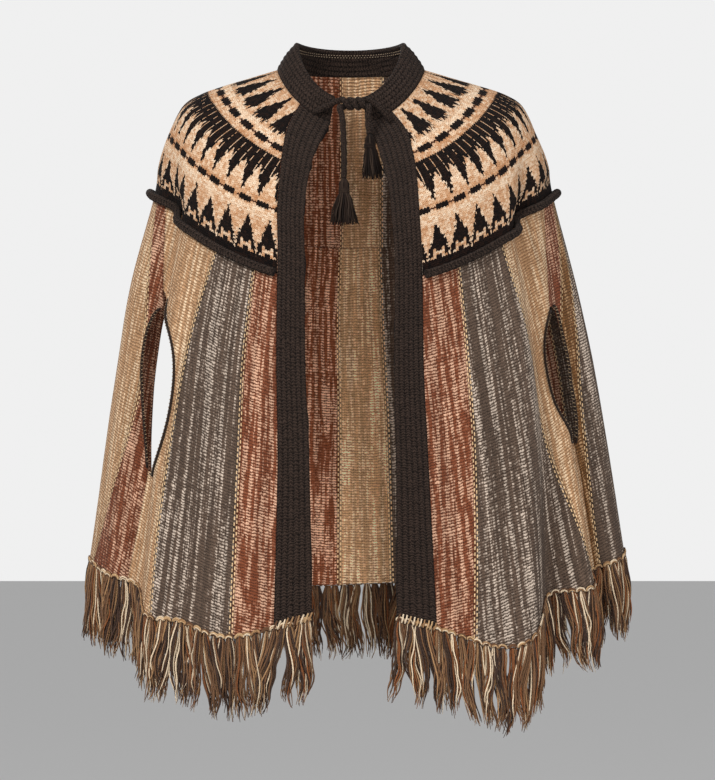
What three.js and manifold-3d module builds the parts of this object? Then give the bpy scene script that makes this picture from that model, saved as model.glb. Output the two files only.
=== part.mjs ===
// A hand-knitted poncho sweater: an open-front cape with a round patterned yoke, a ribbed collar and
// front bands, striped panels that hang from the yoke, arm slits, a fringed hem and a tasselled tie.
// Millimetres, +Z up. The garment faces -Y, so the wearer's right side is at -X. The origin is the
// centre of the neck, level with the top of the shoulders, where the wearer holds the garment up.
import * as THREE from "three";
import { mergeVertices } from "three/addons/utils/BufferGeometryUtils.js";
import Module from "manifold-3d";

const wasm = await Module();
wasm.setup();

// Cloth
const WALL = 3;
const BAND_WALL = 5;
const BAND_PROUD = 1;
const RIB_COUNT = 6;
const RIB_HEIGHT = 0.9;

// Gaps at the seams: between panels, at the yoke's edge, beside the bands and over the fringe
const SEAM_GAP = 0.3;
const EDGE_GAP = 0.3;
const BAND_GAP = 0.6;
const FRINGE_GAP = 0.9;

// Places down the garment
const NECK = 0;
const YOKE_EDGE = 1;
const HEM = 2;

// Rows of faces down each wall, and sections round the collar
const YOKE_ROWS = 8;
const PANEL_ROWS = 12;
const BAND_ROWS = 16;
const COLLAR_STEPS = 44;

// Yoke edge, a soft rolled welt that lies on the outside of the seam
const ROLL_RADIUS = 4.8;
const ROLL_SIDES = 6;
const ROLL_LIFT = 1.1;
const ROLL_END = 0.5;

// Collar
const COLLAR_WALL = 6;
const COLLAR_OVERHANG = 1.5;
const COLLAR_LIFT = 1.2;
const COLLAR_BULGE = 2;
const COLLAR_END = { right: 16.5, left: 13 };
const COLLAR_GAP = COLLAR_OVERHANG + COLLAR_LIFT + SEAM_GAP;

// Fringe, on a strip that is thicker than the cloth by STRIP_PROUD on each face
const FRINGE_LENGTH = 93;
const FRINGE_PITCH = 14.5;
const FRINGE_FLARE = 0.6;
const FRINGE_SCATTER = 0.06;
const STRIP_HEIGHT = 5;
const STRIP_PROUD = 0.7;
const LOCK_RADIUS = 4.8;
const LOCK_SIDES = 3;

// Tie
const CORD_DIAMETER = 7;
const CORD_SIDES = 8;
const CORD_STEPS = 28;
const TWIST_RADIUS = 4.6;
const TWIST_STEPS = 9;
const TASSEL_STRANDS = 14;
const TASSEL_GAP = 0.6;
const TASSEL_HEAD_HEIGHT = 15;
const TASSEL_HEAD_RADIUS = 6.5;
const TASSEL_HEAD_SIDES = 10;
const STRAND_RADIUS = 2.3;
const STRAND_SCATTER = 0.07;

const COLOURS = {
  dark: "#2b211d",
  cream: "#c9a27c",
  rust: "#7d4529",
  grey: "#6b5b50",
  tan: "#b08a5c",
  brown: "#6a4a30",
};

// Rings of the cloth from the collar seam (down 0) over the yoke's edge (down 1) to the hem (down 2).
// front and back are how far the ring reaches from the centre, and each ring dips at front and back.
const RINGS = [
  { down: 0.0, halfWidth: 88, front: 80, back: 78, zSide: 2, zFront: -72, zBack: 2, shift: -5 },
  { down: 0.13, halfWidth: 124, front: 98, back: 95, zSide: -8, zFront: -98, zBack: -22, shift: -5 },
  { down: 0.26, halfWidth: 160, front: 115, back: 111, zSide: -18, zFront: -124, zBack: -46, shift: -4 },
  { down: 0.36, halfWidth: 186, front: 126, back: 121, zSide: -27, zFront: -144, zBack: -64, shift: -3 },
  { down: 0.46, halfWidth: 206, front: 136, back: 129, zSide: -40, zFront: -163, zBack: -83, shift: -3 },
  { down: 0.61, halfWidth: 224, front: 150, back: 138, zSide: -76, zFront: -192, zBack: -118, shift: -3 },
  { down: 0.8, halfWidth: 237, front: 158, back: 145, zSide: -112, zFront: -228, zBack: -163, shift: -2 },
  { down: 1.0, halfWidth: 242, front: 164, back: 150, zSide: -149, zFront: -266, zBack: -210, shift: -2 },
  { down: 1.25, halfWidth: 271, front: 172, back: 158, zSide: -259, zFront: -371, zBack: -318, shift: -2 },
  { down: 1.5, halfWidth: 292, front: 178, back: 164, zSide: -370, zFront: -476, zBack: -426, shift: 1 },
  { down: 2.0, halfWidth: 325, front: 190, back: 176, zSide: -589, zFront: -684, zBack: -641, shift: 3 },
];
const COLLAR_TOP = { halfWidth: 65, front: 74, back: 71, zSide: 37, zFront: -42, zBack: 33, shift: -6 };
const TOP_DIP_POWER = 1.2;
const NECK_DIP_POWER = 1.45;
const EDGE_DIP_POWER = 1.7;
const SHOULDER_EASE = 0.16;

// Folds of the hanging cloth. atYoke and atHem are the turn round the body in degrees: 0 at centre
// front, 90 at the wearer's right, 180 at centre back. spread is in degrees, and start is where the
// fold begins. out at the yoke's edge, the middle and the hem is how far the cloth swells, or sinks
// below 0; lean pushes it round the body and drop lowers the hem.
const FOLDS = [
  { atYoke: 4, atHem: 4, spread: 17, start: 1, outYoke: 0, outMid: 0, outHem: 0, lean: 0, drop: -24 },
  { atYoke: 32, atHem: 29, spread: 9, start: 1, outYoke: 0, outMid: 3, outHem: 6, lean: 0, drop: 11 },
  { atYoke: 58, atHem: 47, spread: 6.5, start: 0.6, outYoke: 4, outMid: 8, outHem: 12, lean: 8, drop: 15 },
  { atYoke: 66, atHem: 55, spread: 8, start: 0.5, outYoke: -19, outMid: -34, outHem: -18, lean: 0, drop: -6 },
  { atYoke: 92, atHem: 92, spread: 12, start: 0.8, outYoke: 0, outMid: 1, outHem: 1, lean: 0, drop: 5 },
  { atYoke: 124, atHem: 120, spread: 9, start: 0.8, outYoke: -2, outMid: -6, outHem: -20, lean: 0, drop: 0 },
  { atYoke: 140, atHem: 137, spread: 8, start: 1, outYoke: 0, outMid: 7, outHem: 13, lean: 0, drop: 5 },
  { atYoke: 156, atHem: 154, spread: 8, start: 1, outYoke: 0, outMid: -6, outHem: -13, lean: 0, drop: -3 },
  { atYoke: 170, atHem: 169, spread: 8, start: 1, outYoke: 0, outMid: 5, outHem: 10, lean: 0, drop: 3 },
  { atYoke: 187, atHem: 187, spread: 9, start: 1, outYoke: 0, outMid: -5, outHem: -12, lean: 0, drop: -3 },
  { atYoke: 203, atHem: 205, spread: 9, start: 1, outYoke: 0, outMid: 6, outHem: 14, lean: 0, drop: 5 },
  { atYoke: 216, atHem: 219, spread: 7, start: 1, outYoke: 0, outMid: -2, outHem: -5, lean: 0, drop: 0 },
  { atYoke: 234, atHem: 238, spread: 9, start: 0.8, outYoke: -2, outMid: -8, outHem: -22, lean: 0, drop: 0 },
  { atYoke: 266, atHem: 266, spread: 12, start: 0.8, outYoke: 1, outMid: 0, outHem: 0, lean: 0, drop: -5 },
  { atYoke: 288, atHem: 292, spread: 8, start: 0.8, outYoke: -4, outMid: -32, outHem: -26, lean: 0, drop: -2 },
  { atYoke: 297, atHem: 303, spread: 6, start: 0.8, outYoke: 0, outMid: 1, outHem: 9, lean: -4, drop: 2 },
  { atYoke: 300, atHem: 312, spread: 7, start: 0.5, outYoke: -26, outMid: -24, outHem: -30, lean: 0, drop: -8 },
  { atYoke: 309, atHem: 323, spread: 6, start: 0.55, outYoke: 5, outMid: 8, outHem: 10, lean: -4, drop: 8 },
  { atYoke: 326, atHem: 329, spread: 9, start: 1, outYoke: 0, outMid: 3, outHem: 5, lean: 0, drop: 22 },
  { atYoke: 356, atHem: 356, spread: 17, start: 1, outYoke: 0, outMid: 0, outHem: 0, lean: 0, drop: -18 },
];

// The front bands' edges, as distances from the centre line, measured down the garment.
const BANDS = {
  right: [
    { down: 0, inner: 23, outer: 60 },
    { down: 0.13, inner: 35, outer: 74 },
    { down: 0.26, inner: 46, outer: 81 },
    { down: 0.45, inner: 54, outer: 86 },
    { down: 1, inner: 56, outer: 88 },
    { down: 1.5, inner: 54, outer: 90 },
    { down: 2, inner: 52, outer: 96 },
  ],
  left: [
    { down: 0, inner: 18, outer: 48 },
    { down: 0.13, inner: 29, outer: 65 },
    { down: 0.26, inner: 36, outer: 72 },
    { down: 0.45, inner: 43, outer: 76 },
    { down: 1, inner: 48, outer: 80 },
    { down: 1.5, inner: 46, outer: 83 },
    { down: 2, inner: 45, outer: 91 },
  ],
};

// The seams between the panels, and the arm slits left open in them. seam is the turn of the line. The
// cloth before and after it is drawn back from it between top and bottom: open is by how many degrees,
// widest the share of the length where it is drawn back most, and softness how slowly the gap opens.
const SLITS = {
  rightFront: {
    seam: [
      { down: 1, turn: 74 },
      { down: 1.13, turn: 69.7 },
      { down: 1.25, turn: 65.9 },
      { down: 1.45, turn: 63.7 },
      { down: 1.7, turn: 60.6 },
      { down: 2, turn: 60.1 },
    ],
    before: { top: 1.225, bottom: 1.7, widest: 0.33, open: 16.4, softness: 0.45 },
    after: { top: 1.27, bottom: 1.7, widest: 0.33, open: 4.8, softness: 0.8 },
  },
  rightBack: {
    seam: [
      { down: 1, turn: 123 },
      { down: 2, turn: 123 },
    ],
    before: { top: 1.2, bottom: 1.8, widest: 0.45, open: 4.6, softness: 0.4 },
    after: { top: 1.2, bottom: 1.8, widest: 0.45, open: 7.5, softness: 0.5 },
  },
  leftBack: {
    seam: [
      { down: 1, turn: 228 },
      { down: 2, turn: 228 },
    ],
    before: { top: 1.2, bottom: 1.65, widest: 0.45, open: 3.6, softness: 0.8 },
    after: { top: 1.2, bottom: 1.65, widest: 0.45, open: 3.2, softness: 0.8 },
  },
  leftFront: {
    seam: [
      { down: 1, turn: 285 },
      { down: 1.09, turn: 287.4 },
      { down: 1.2, turn: 291.5 },
      { down: 1.28, turn: 294.6 },
      { down: 1.47, turn: 291.7 },
      { down: 1.66, turn: 288.9 },
      { down: 2, turn: 290 },
    ],
    before: { top: 1.27, bottom: 1.66, widest: 0.2, open: 7.5, softness: 0.6 },
    after: { top: 1.27, bottom: 1.65, widest: 0.6, open: 10.4, softness: 0.5 },
  },
};

const PANELS = [
  { name: "front_right", columns: 16, colour: "grey" },
  { name: "side_right", columns: 10, colour: "tan" },
  { name: "back", columns: 22, colour: "rust" },
  { name: "side_left", columns: 10, colour: "tan" },
  { name: "front_left", columns: 18, colour: "grey" },
];

const radians = (degrees) => (degrees * Math.PI) / 180;
const lerp = (a, b, share) => a + (b - a) * share;
const clamp = (x, low, high) => Math.min(high, Math.max(low, x));
const shortestTurn = (from, to) => ((to - from + 540) % 360) - 180;

// The value of one column of a table at a place between its rows, on a smooth curve through them.
function along(rows, key, place) {
  const last = rows.length - 1;
  let i = 0;
  while (i < last - 1 && place > rows[i + 1].down) i += 1;
  const slope = (a, b) => (rows[b][key] - rows[a][key]) / (rows[b].down - rows[a].down);
  const inside = slope(i, i + 1);
  const before = i > 0 ? (slope(i - 1, i) + inside) / 2 : inside;
  const after = i + 1 < last ? (slope(i + 1, i + 2) + inside) / 2 : inside;
  const step = rows[i + 1].down - rows[i].down;
  const t = (place - rows[i].down) / step;
  if (t > 1) return rows[i + 1][key] + after * (place - rows[i + 1].down);
  const t2 = t * t;
  const t3 = t2 * t;
  return (
    (2 * t3 - 3 * t2 + 1) * rows[i][key] +
    (t3 - 2 * t2 + t) * step * before +
    (3 * t2 - 2 * t3) * rows[i + 1][key] +
    (t3 - t2) * step * after
  );
}

// A point of a ring at a turn: an oval that dips at centre front and centre back, with soft shoulders.
function ringPoint(ring, turn, dipPower) {
  const s = Math.sin(radians(turn));
  const c = Math.cos(radians(turn));
  const reach = c > 0 ? ring.front : ring.back;
  const frontShare = ((Math.hypot(c, SHOULDER_EASE) + c) / 2) ** dipPower;
  const backShare = ((Math.hypot(c, SHOULDER_EASE) - c) / 2) ** dipPower;
  const z = ring.zSide + (ring.zFront - ring.zSide) * frontShare + (ring.zBack - ring.zSide) * backShare;
  return new THREE.Vector3(ring.shift - ring.halfWidth * s, -reach * c, z);
}

// How far a fold has grown at a place down the garment.
function foldGrowth(fold, down) {
  if (down <= fold.start) return 0;
  if (down < 1) return fold.outYoke * ((down - fold.start) / (1 - fold.start)) ** 1.5;
  if (down < 1.5) return lerp(fold.outYoke, fold.outMid, (down - 1) / 0.5);
  return lerp(fold.outMid, fold.outHem, (down - 1.5) / 0.5);
}

// The outer face of the cloth at a turn round the body and a place down it.
function cloth(turn, down) {
  const ring = {};
  for (const key of Object.keys(RINGS[0])) ring[key] = along(RINGS, key, down);
  const dipPower = lerp(NECK_DIP_POWER, EDGE_DIP_POWER, clamp(down, 0, 1));
  const point = ringPoint(ring, turn, dipPower);
  const s = Math.sin(radians(turn));
  const c = Math.cos(radians(turn));
  const reach = c > 0 ? ring.front : ring.back;
  const outward = new THREE.Vector3(-s / ring.halfWidth, -c / reach, 0).normalize();
  const sideways = new THREE.Vector3(-c * ring.halfWidth, s * reach, 0).normalize();
  const hang = Math.max(0, down - 1);
  for (const fold of FOLDS) {
    const at = fold.atYoke + (down - 1) * (fold.atHem - fold.atYoke);
    const away = shortestTurn(at, turn) / fold.spread;
    const share = Math.exp(-away * away);
    point.addScaledVector(outward, share * foldGrowth(fold, down));
    point.addScaledVector(sideways, share * fold.lean * hang);
    point.z -= share * fold.drop * hang;
  }
  return point;
}

const millimetresPerDegree = (turn, down) => cloth(turn - 1, down).distanceTo(cloth(turn + 1, down)) / 2;

// The place that lies a distance in millimetres below (or above) a place, at a turn.
function below(turn, down, distance) {
  const step = 0.01 * Math.sign(distance);
  return down + (step * Math.abs(distance)) / cloth(turn, down).distanceTo(cloth(turn, down + step));
}

// The turn at which the cloth is a given distance from the centre line, at the front.
function frontTurn(side, column, down) {
  const reach = along(BANDS[side], column, Math.min(down, 2));
  const turn = THREE.MathUtils.radToDeg(Math.asin(reach / along(RINGS, "halfWidth", down)));
  return side === "right" ? turn : 360 - turn;
}

// An edge of a panel is the turn of its line and how far in degrees the cloth is drawn back from it:
// half the seam gap along a seam, and more where an arm slit gapes. side is -1 before the line.
const seamEdge = (name, side) => (down) => {
  const line = along(SLITS[name].seam, "turn", down);
  const slit = side < 0 ? SLITS[name].before : SLITS[name].after;
  const share = clamp((down - slit.top) / (slit.bottom - slit.top), 0, 1);
  const gape = Math.max(0, Math.sin(Math.PI * share ** (Math.log(0.5) / Math.log(slit.widest)))) ** slit.softness;
  return { line, drawn: side * Math.max(SEAM_GAP / 2 / millimetresPerDegree(line, down), slit.open * gape) };
};

const bandEdge = (side, column, inset) => (down) => {
  const line = frontTurn(side, column, down);
  return { line, drawn: inset / millimetresPerDegree(line, down) };
};

// The turn at a share of the way from one edge to the other. Only the cloth near a slit is drawn back.
function turnBetween(firstEdge, lastEdge, share, down) {
  const first = firstEdge(down);
  const last = lastEdge(down);
  return lerp(first.line, last.line, share) + first.drawn * (1 - share) ** 2 + last.drawn * share ** 2;
}

function geometryOf(points, faces) {
  const geometry = new THREE.BufferGeometry();
  geometry.setAttribute("position", new THREE.Float32BufferAttribute(points.flatMap((p) => p.toArray()), 3));
  geometry.setIndex(faces.flat());
  geometry.computeVertexNormals();
  return geometry;
}

const evenShares = (count) => Array.from({ length: count + 1 }, (_, i) => i / count);

// A closed wall of cloth. place(across, down) gives its outer face for shares from 0 to 1: across goes
// through the list of shares and down in even rows. relief(across) is what is raised on that face.
function wall(shares, rows, place, { thick = WALL, proud = 0, relief = () => 0 } = {}) {
  const columns = shares.length - 1;
  const points = [[], []];
  const near = 1e-3;
  for (let j = 0; j <= rows; j += 1) {
    for (const u of shares) {
      const v = j / rows;
      const across = place(u + near, v).sub(place(u - near, v));
      const downward = place(u, v + near).sub(place(u, v - near));
      const normal = across.cross(downward).normalize();
      points[0].push(place(u, v).addScaledVector(normal, proud + relief(u)));
      points[1].push(place(u, v).addScaledVector(normal, proud - thick));
    }
  }
  const count = points[0].length;
  const at = (i, j, layer) => layer * count + j * (columns + 1) + i;
  const faces = [];
  const quad = (a, b, c, d) => faces.push([a, b, c], [a, c, d]);
  for (let j = 0; j < rows; j += 1) {
    for (let i = 0; i < columns; i += 1) {
      quad(at(i, j, 0), at(i + 1, j, 0), at(i + 1, j + 1, 0), at(i, j + 1, 0));
      quad(at(i, j, 1), at(i, j + 1, 1), at(i + 1, j + 1, 1), at(i + 1, j, 1));
    }
    quad(at(0, j, 0), at(0, j + 1, 0), at(0, j + 1, 1), at(0, j, 1));
    quad(at(columns, j, 1), at(columns, j + 1, 1), at(columns, j + 1, 0), at(columns, j, 0));
  }
  for (let i = 0; i < columns; i += 1) {
    quad(at(i, 0, 1), at(i + 1, 0, 1), at(i + 1, 0, 0), at(i, 0, 0));
    quad(at(i, rows, 0), at(i + 1, rows, 0), at(i + 1, rows, 1), at(i, rows, 1));
  }
  return geometryOf(points.flat(), faces);
}

// A closed body through a row of sections, each a ring of the same number of points.
function loft(sections) {
  const sides = sections[0].length;
  const faces = [];
  sections.slice(1).forEach((_, j) => {
    for (let i = 0; i < sides; i += 1) {
      const k = (i + 1) % sides;
      const here = j * sides;
      const next = here + sides;
      faces.push([here + i, here + k, next + k], [here + i, next + k, next + i]);
    }
  });
  const last = (sections.length - 1) * sides;
  for (let i = 1; i < sides - 1; i += 1) faces.push([0, i + 1, i], [last, last + i, last + i + 1]);
  return geometryOf(sections.flat(), faces);
}

// A panel between two edges, each a turn worked out for every place down it.
// top and bottom are its places down, each with a distance by which it stops short of them.
function panel(shares, rows, [top, topGap], [bottom, bottomGap], [firstEdge, lastEdge], options) {
  const place = (u, v) => {
    const turnAt = (down) => turnBetween(firstEdge, lastEdge, u, down);
    const from = topGap ? below(turnAt(top), top, topGap) : top;
    const to = bottomGap ? below(turnAt(bottom), bottom, -bottomGap) : bottom;
    const down = lerp(from, to, v);
    return cloth(turnAt(down), down);
  };
  return wall(shares, rows, place, options);
}

const EDGES = {
  front_right: [bandEdge("right", "outer", BAND_GAP), seamEdge("rightFront", -1)],
  side_right: [seamEdge("rightFront", 1), seamEdge("rightBack", -1)],
  back: [seamEdge("rightBack", 1), seamEdge("leftBack", -1)],
  side_left: [seamEdge("leftBack", 1), seamEdge("leftFront", -1)],
  front_left: [seamEdge("leftFront", 1), bandEdge("left", "outer", -BAND_GAP)],
};
const rib = (u) => RIB_HEIGHT * Math.sin(Math.PI * RIB_COUNT * clamp(u, 0, 1)) ** 2;

// The turns of all the panels' columns at the yoke's edge, which the yoke and its welt share.
function turnsAtYokeEdge() {
  const turns = [];
  for (const { name, columns } of PANELS) {
    const [first, last] = EDGES[name];
    const shares = evenShares(columns).slice(turns.length ? 1 : 0);
    turns.push(...shares.map((share) => turnBetween(first, last, share, YOKE_EDGE)));
  }
  return turns;
}

function yoke() {
  const turns = turnsAtYokeEdge();
  const width = turns.at(-1) - turns[0];
  const shares = turns.map((turn) => (turn - turns[0]) / width);
  const edges = [bandEdge("right", "outer", BAND_GAP), bandEdge("left", "outer", -BAND_GAP)];
  return panel(shares, YOKE_ROWS, [NECK, 0], [YOKE_EDGE, EDGE_GAP], edges);
}

// The rolled welt, a tube that lies on the seam at the yoke's edge from band to band.
function rolledEdge() {
  const turns = turnsAtYokeEdge();
  turns[0] += ROLL_END;
  turns[turns.length - 1] -= ROLL_END;
  const sections = turns.map((turn) => {
    const along = cloth(turn + 0.5, YOKE_EDGE).sub(cloth(turn - 0.5, YOKE_EDGE)).normalize();
    const downward = cloth(turn, YOKE_EDGE + 0.01).sub(cloth(turn, YOKE_EDGE - 0.01));
    const outward = new THREE.Vector3().crossVectors(along, downward).normalize();
    const upward = new THREE.Vector3().crossVectors(along, outward);
    const centre = cloth(turn, YOKE_EDGE).addScaledVector(outward, ROLL_RADIUS + ROLL_LIFT);
    return Array.from({ length: ROLL_SIDES }, (_, i) => {
      const angle = (2 * Math.PI * (i + 0.5)) / ROLL_SIDES;
      const point = centre.clone().addScaledVector(outward, ROLL_RADIUS * Math.cos(angle));
      return point.addScaledVector(upward, ROLL_RADIUS * Math.sin(angle));
    });
  });
  return loft(sections);
}

function tube(curve, radius, sides, steps) {
  const section = new THREE.Shape(
    Array.from({ length: sides }, (_, i) => {
      const angle = (2 * Math.PI * i) / sides;
      return new THREE.Vector2(radius * Math.cos(angle), radius * Math.sin(angle));
    }),
  );
  return new THREE.ExtrudeGeometry(section, { steps, extrudePath: curve, bevelEnabled: false });
}

// The ribbed stand collar: at each turn a section that sits on the yoke's neck edge and leans inwards.
function collar() {
  const from = COLLAR_END.right;
  const to = 360 - COLLAR_END.left;
  const faceSteps = RIB_COUNT * 2;
  const sections = [];
  for (let k = 0; k <= COLLAR_STEPS; k += 1) {
    const turn = lerp(from, to, k / COLLAR_STEPS);
    const base = cloth(turn, NECK);
    const downhill = cloth(turn, NECK + 0.02).sub(base).normalize();
    const sideways = cloth(turn + 1, NECK).sub(cloth(turn - 1, NECK)).normalize();
    const up = new THREE.Vector3().crossVectors(sideways, downhill).normalize();
    const seat = base.clone().addScaledVector(up, COLLAR_LIFT);
    const outerLow = seat.clone().addScaledVector(downhill, COLLAR_OVERHANG);
    const innerLow = outerLow.clone().addScaledVector(downhill, -COLLAR_WALL);
    const outerTop = ringPoint(COLLAR_TOP, turn, TOP_DIP_POWER);
    const rise = outerTop.clone().sub(outerLow).normalize();
    const outward = new THREE.Vector3().crossVectors(rise, sideways).normalize();
    const innerTop = outerTop.clone().addScaledVector(outward, -COLLAR_WALL);
    const section = [];
    for (let i = 0; i <= faceSteps; i += 1) {
      const share = i / faceSteps;
      const swell = COLLAR_BULGE * Math.sin(Math.PI * share) + rib(share);
      section.push(outerLow.clone().lerp(outerTop, share).addScaledVector(outward, swell));
    }
    section.push(innerTop, innerLow);
    sections.push(section);
  }
  return loft(sections);
}

const frontBand = (side) => {
  const edges = [bandEdge(side, "inner", 0), bandEdge(side, "outer", 0)];
  if (side === "left") edges.reverse();
  const options = { thick: BAND_WALL, proud: BAND_PROUD, relief: rib };
  return panel(evenShares(RIB_COUNT * 2), BAND_ROWS, [NECK, COLLAR_GAP], [HEM, 0], edges, options);
};

// Joining with manifold-3d: a geometry becomes a solid, and the joined solid a geometry again.
function solid(geometry) {
  const bare = geometry.clone();
  bare.deleteAttribute("normal");
  bare.deleteAttribute("uv");
  const merged = mergeVertices(bare, 1e-4);
  return new wasm.Manifold(
    new wasm.Mesh({
      numProp: 3,
      vertProperties: merged.attributes.position.array,
      triVerts: new Uint32Array(merged.index.array),
    }),
  );
}

function fused(geometries) {
  const whole = geometries.map(solid).reduce((a, b) => a.add(b));
  const { vertProperties, triVerts } = whole.getMesh();
  const geometry = new THREE.BufferGeometry();
  geometry.setAttribute("position", new THREE.BufferAttribute(new Float32Array(vertProperties), 3));
  geometry.setIndex(new THREE.BufferAttribute(new Uint32Array(triVerts), 1));
  geometry.computeVertexNormals();
  return geometry;
}

// An even, repeatable scatter between -1 and 1 for the way each lock hangs.
const scatter = (seed) => 2 * ((Math.sin(seed * 12.9898 + 4.1) * 43758.5453) % 1);

// One lock of yarn, from its root: a spindle that leans a little.
function lock(root, seed, length, radius, lean) {
  const fullest = { radius, height: -length * 0.7 };
  const slimRoot = radius * 0.38;
  const profile = [
    new THREE.Vector2(0, -length),
    new THREE.Vector2(fullest.radius, fullest.height),
    new THREE.Vector2(slimRoot, 0),
    new THREE.Vector2(0, 0),
  ];
  const geometry = new THREE.LatheGeometry(profile, LOCK_SIDES);
  geometry.rotateX(Math.PI / 2);
  geometry.rotateZ(scatter(seed));
  const straightDown = new THREE.Vector3(0, 0, -1);
  const hang = new THREE.Quaternion().setFromUnitVectors(straightDown, lean.clone().normalize());
  geometry.applyQuaternion(hang);
  geometry.translate(root.x, root.y, root.z);
  return geometry;
}

// A strip just under a hem with locks of yarn fused to it.
function fringe(firstEdge, lastEdge, seed) {
  const place = (u, v) => {
    const turn = turnBetween(firstEdge, lastEdge, u, HEM);
    return cloth(turn, below(turn, HEM, FRINGE_GAP + v * STRIP_HEIGHT));
  };
  const samples = 200;
  const lengths = [0];
  for (let i = 1; i <= samples; i += 1) {
    lengths.push(lengths[i - 1] + place(i / samples, 1).distanceTo(place((i - 1) / samples, 1)));
  }
  const long = lengths[samples];
  const count = Math.round(long / FRINGE_PITCH);
  const strip = wall(evenShares(count), 1, place, { thick: WALL + 2 * STRIP_PROUD, proud: STRIP_PROUD });
  const pieces = [strip];
  for (let i = 0; i < count; i += 1) {
    const wanted = (long * (i + 0.5)) / count;
    const u = lengths.findIndex((x) => x >= wanted) / samples;
    const flow = place(u, 1).sub(place(u, 0)).normalize();
    const inward = place(u + 0.001, 0).sub(place(u - 0.001, 0)).cross(flow).normalize();
    const root = place(u, 0.35).addScaledVector(inward, -WALL / 2);
    const lean = new THREE.Vector3(0, 0, -1).addScaledVector(flow, FRINGE_FLARE);
    lean.x += FRINGE_SCATTER * scatter(seed + i);
    lean.y += FRINGE_SCATTER * scatter(seed + i + 0.5);
    const length = FRINGE_LENGTH * (1 + FRINGE_SCATTER * scatter(seed + 2 * i));
    pieces.push(lock(root, seed + i, length, LOCK_RADIUS, lean));
  }
  return fused(pieces);
}

// The tie: each cord starts on one side of the collar, turns round the other at the neck and hangs
// down on the far side. lead and tail are points on its way in and out of the knot, fromSide is the
// side that it starts on, and phase its place in the twist, in degrees.
const KNOT = { x: -1, y: -90, z: -50, halfLength: 14, turns: 1.5 };
const TIES = {
  right: {
    lead: [[-47.3, -76.3, -58.4], [-40, -84, -56], [-31, -88, -52], [-22, -89, -47.5]],
    tail: [[16.5, -96, -54], [15.5, -99.5, -63], [15.5, -100, -74], [17, -100, -87]],
    fromSide: -1,
    phase: 90,
    tasselLength: 52,
    tasselSpread: 0.2,
    tasselLean: 0.08,
  },
  left: {
    lead: [[41.3, -81, -68.6], [35, -86.5, -61], [28, -88.5, -54], [20, -89, -48.5]],
    tail: [[-18, -96, -55], [-15, -99.5, -68], [-13.5, -100, -92], [-13, -100, -116], [-13, -100, -139]],
    fromSide: 1,
    phase: 270,
    tasselLength: 54,
    tasselSpread: 0.32,
    tasselLean: 0,
  },
};

function tiePath({ lead, tail, fromSide, phase }) {
  const points = lead.map((p) => new THREE.Vector3(...p));
  for (let i = 0; i <= TWIST_STEPS; i += 1) {
    const share = i / TWIST_STEPS;
    const x = KNOT.x + fromSide * KNOT.halfLength * (1 - 2 * share);
    const angle = radians(phase + 360 * KNOT.turns * (fromSide < 0 ? share : 1 - share));
    const y = KNOT.y + TWIST_RADIUS * Math.cos(angle);
    const z = KNOT.z + TWIST_RADIUS * Math.sin(angle);
    points.push(new THREE.Vector3(x, y, z));
  }
  points.push(...tail.map((p) => new THREE.Vector3(...p)));
  return new THREE.CatmullRomCurve3(points, false, "centripetal");
}

const tieCord = (side) => tube(tiePath(TIES[side]), CORD_DIAMETER / 2, CORD_SIDES, CORD_STEPS);

// A tassel: a bound head with strands that spread below it. Every third strand hangs further in.
function tassel({ tail, tasselLength, tasselSpread, tasselLean }) {
  const profile = [
    { radius: 0, height: -TASSEL_HEAD_HEIGHT },
    { radius: TASSEL_HEAD_RADIUS * 1.15, height: -TASSEL_HEAD_HEIGHT },
    { radius: TASSEL_HEAD_RADIUS, height: -TASSEL_HEAD_HEIGHT * 0.4 },
    { radius: TASSEL_HEAD_RADIUS * 0.6, height: 0 },
    { radius: 0, height: 0 },
  ];
  const outline = profile.map(({ radius, height }) => new THREE.Vector2(radius, height));
  const head = new THREE.LatheGeometry(outline, TASSEL_HEAD_SIDES);
  head.rotateX(Math.PI / 2);
  const pieces = [head];
  for (let i = 0; i < TASSEL_STRANDS; i += 1) {
    const angle = (2 * Math.PI * i) / TASSEL_STRANDS;
    const reach = i % 3 === 0 ? 0.45 : 1;
    const way = new THREE.Vector3(Math.cos(angle) * reach, Math.sin(angle) * reach, 0);
    const root = way.clone().multiplyScalar(TASSEL_HEAD_RADIUS * 0.85);
    root.z = -TASSEL_HEAD_HEIGHT * 0.8;
    const lean = new THREE.Vector3(tasselLean, 0, -1).addScaledVector(way, tasselSpread);
    const long = (tasselLength - TASSEL_HEAD_HEIGHT) * (1 + STRAND_SCATTER * scatter(i + tasselLength));
    pieces.push(lock(root, i, long, STRAND_RADIUS, lean));
  }
  const geometry = fused(pieces);
  const [x, y, z] = tail.at(-1);
  geometry.translate(x, y, z - TASSEL_GAP);
  return geometry;
}

const group = new THREE.Group();

function add(name, geometry, colour) {
  const material = new THREE.MeshStandardMaterial({ color: COLOURS[colour], roughness: 0.95, metalness: 0 });
  const mesh = new THREE.Mesh(geometry, material);
  mesh.name = name;
  group.add(mesh);
}

add("collar", collar(), "dark");
add("yoke", yoke(), "cream");
add("yoke_rolled_edge", rolledEdge(), "dark");
add("front_band_right", frontBand("right"), "dark");
add("front_band_left", frontBand("left"), "dark");
for (const { name, columns, colour } of PANELS) {
  add(name, panel(evenShares(columns), PANEL_ROWS, [YOKE_EDGE, EDGE_GAP], [HEM, 0], EDGES[name]), colour);
}
const FRINGES = {
  front_right: [bandEdge("right", "inner", 0), EDGES.front_right[1]],
  side_right: EDGES.side_right,
  back: EDGES.back,
  side_left: EDGES.side_left,
  front_left: [EDGES.front_left[0], bandEdge("left", "inner", 0)],
};
Object.entries(FRINGES).forEach(([name, edges], i) => {
  const seed = 100 * i;
  add(`fringe_${name}`, fringe(...edges, seed), "brown");
});
add("tie_cord_right", tieCord("right"), "dark");
add("tie_cord_left", tieCord("left"), "dark");
add("tassel_right", tassel(TIES.right), "dark");
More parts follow.
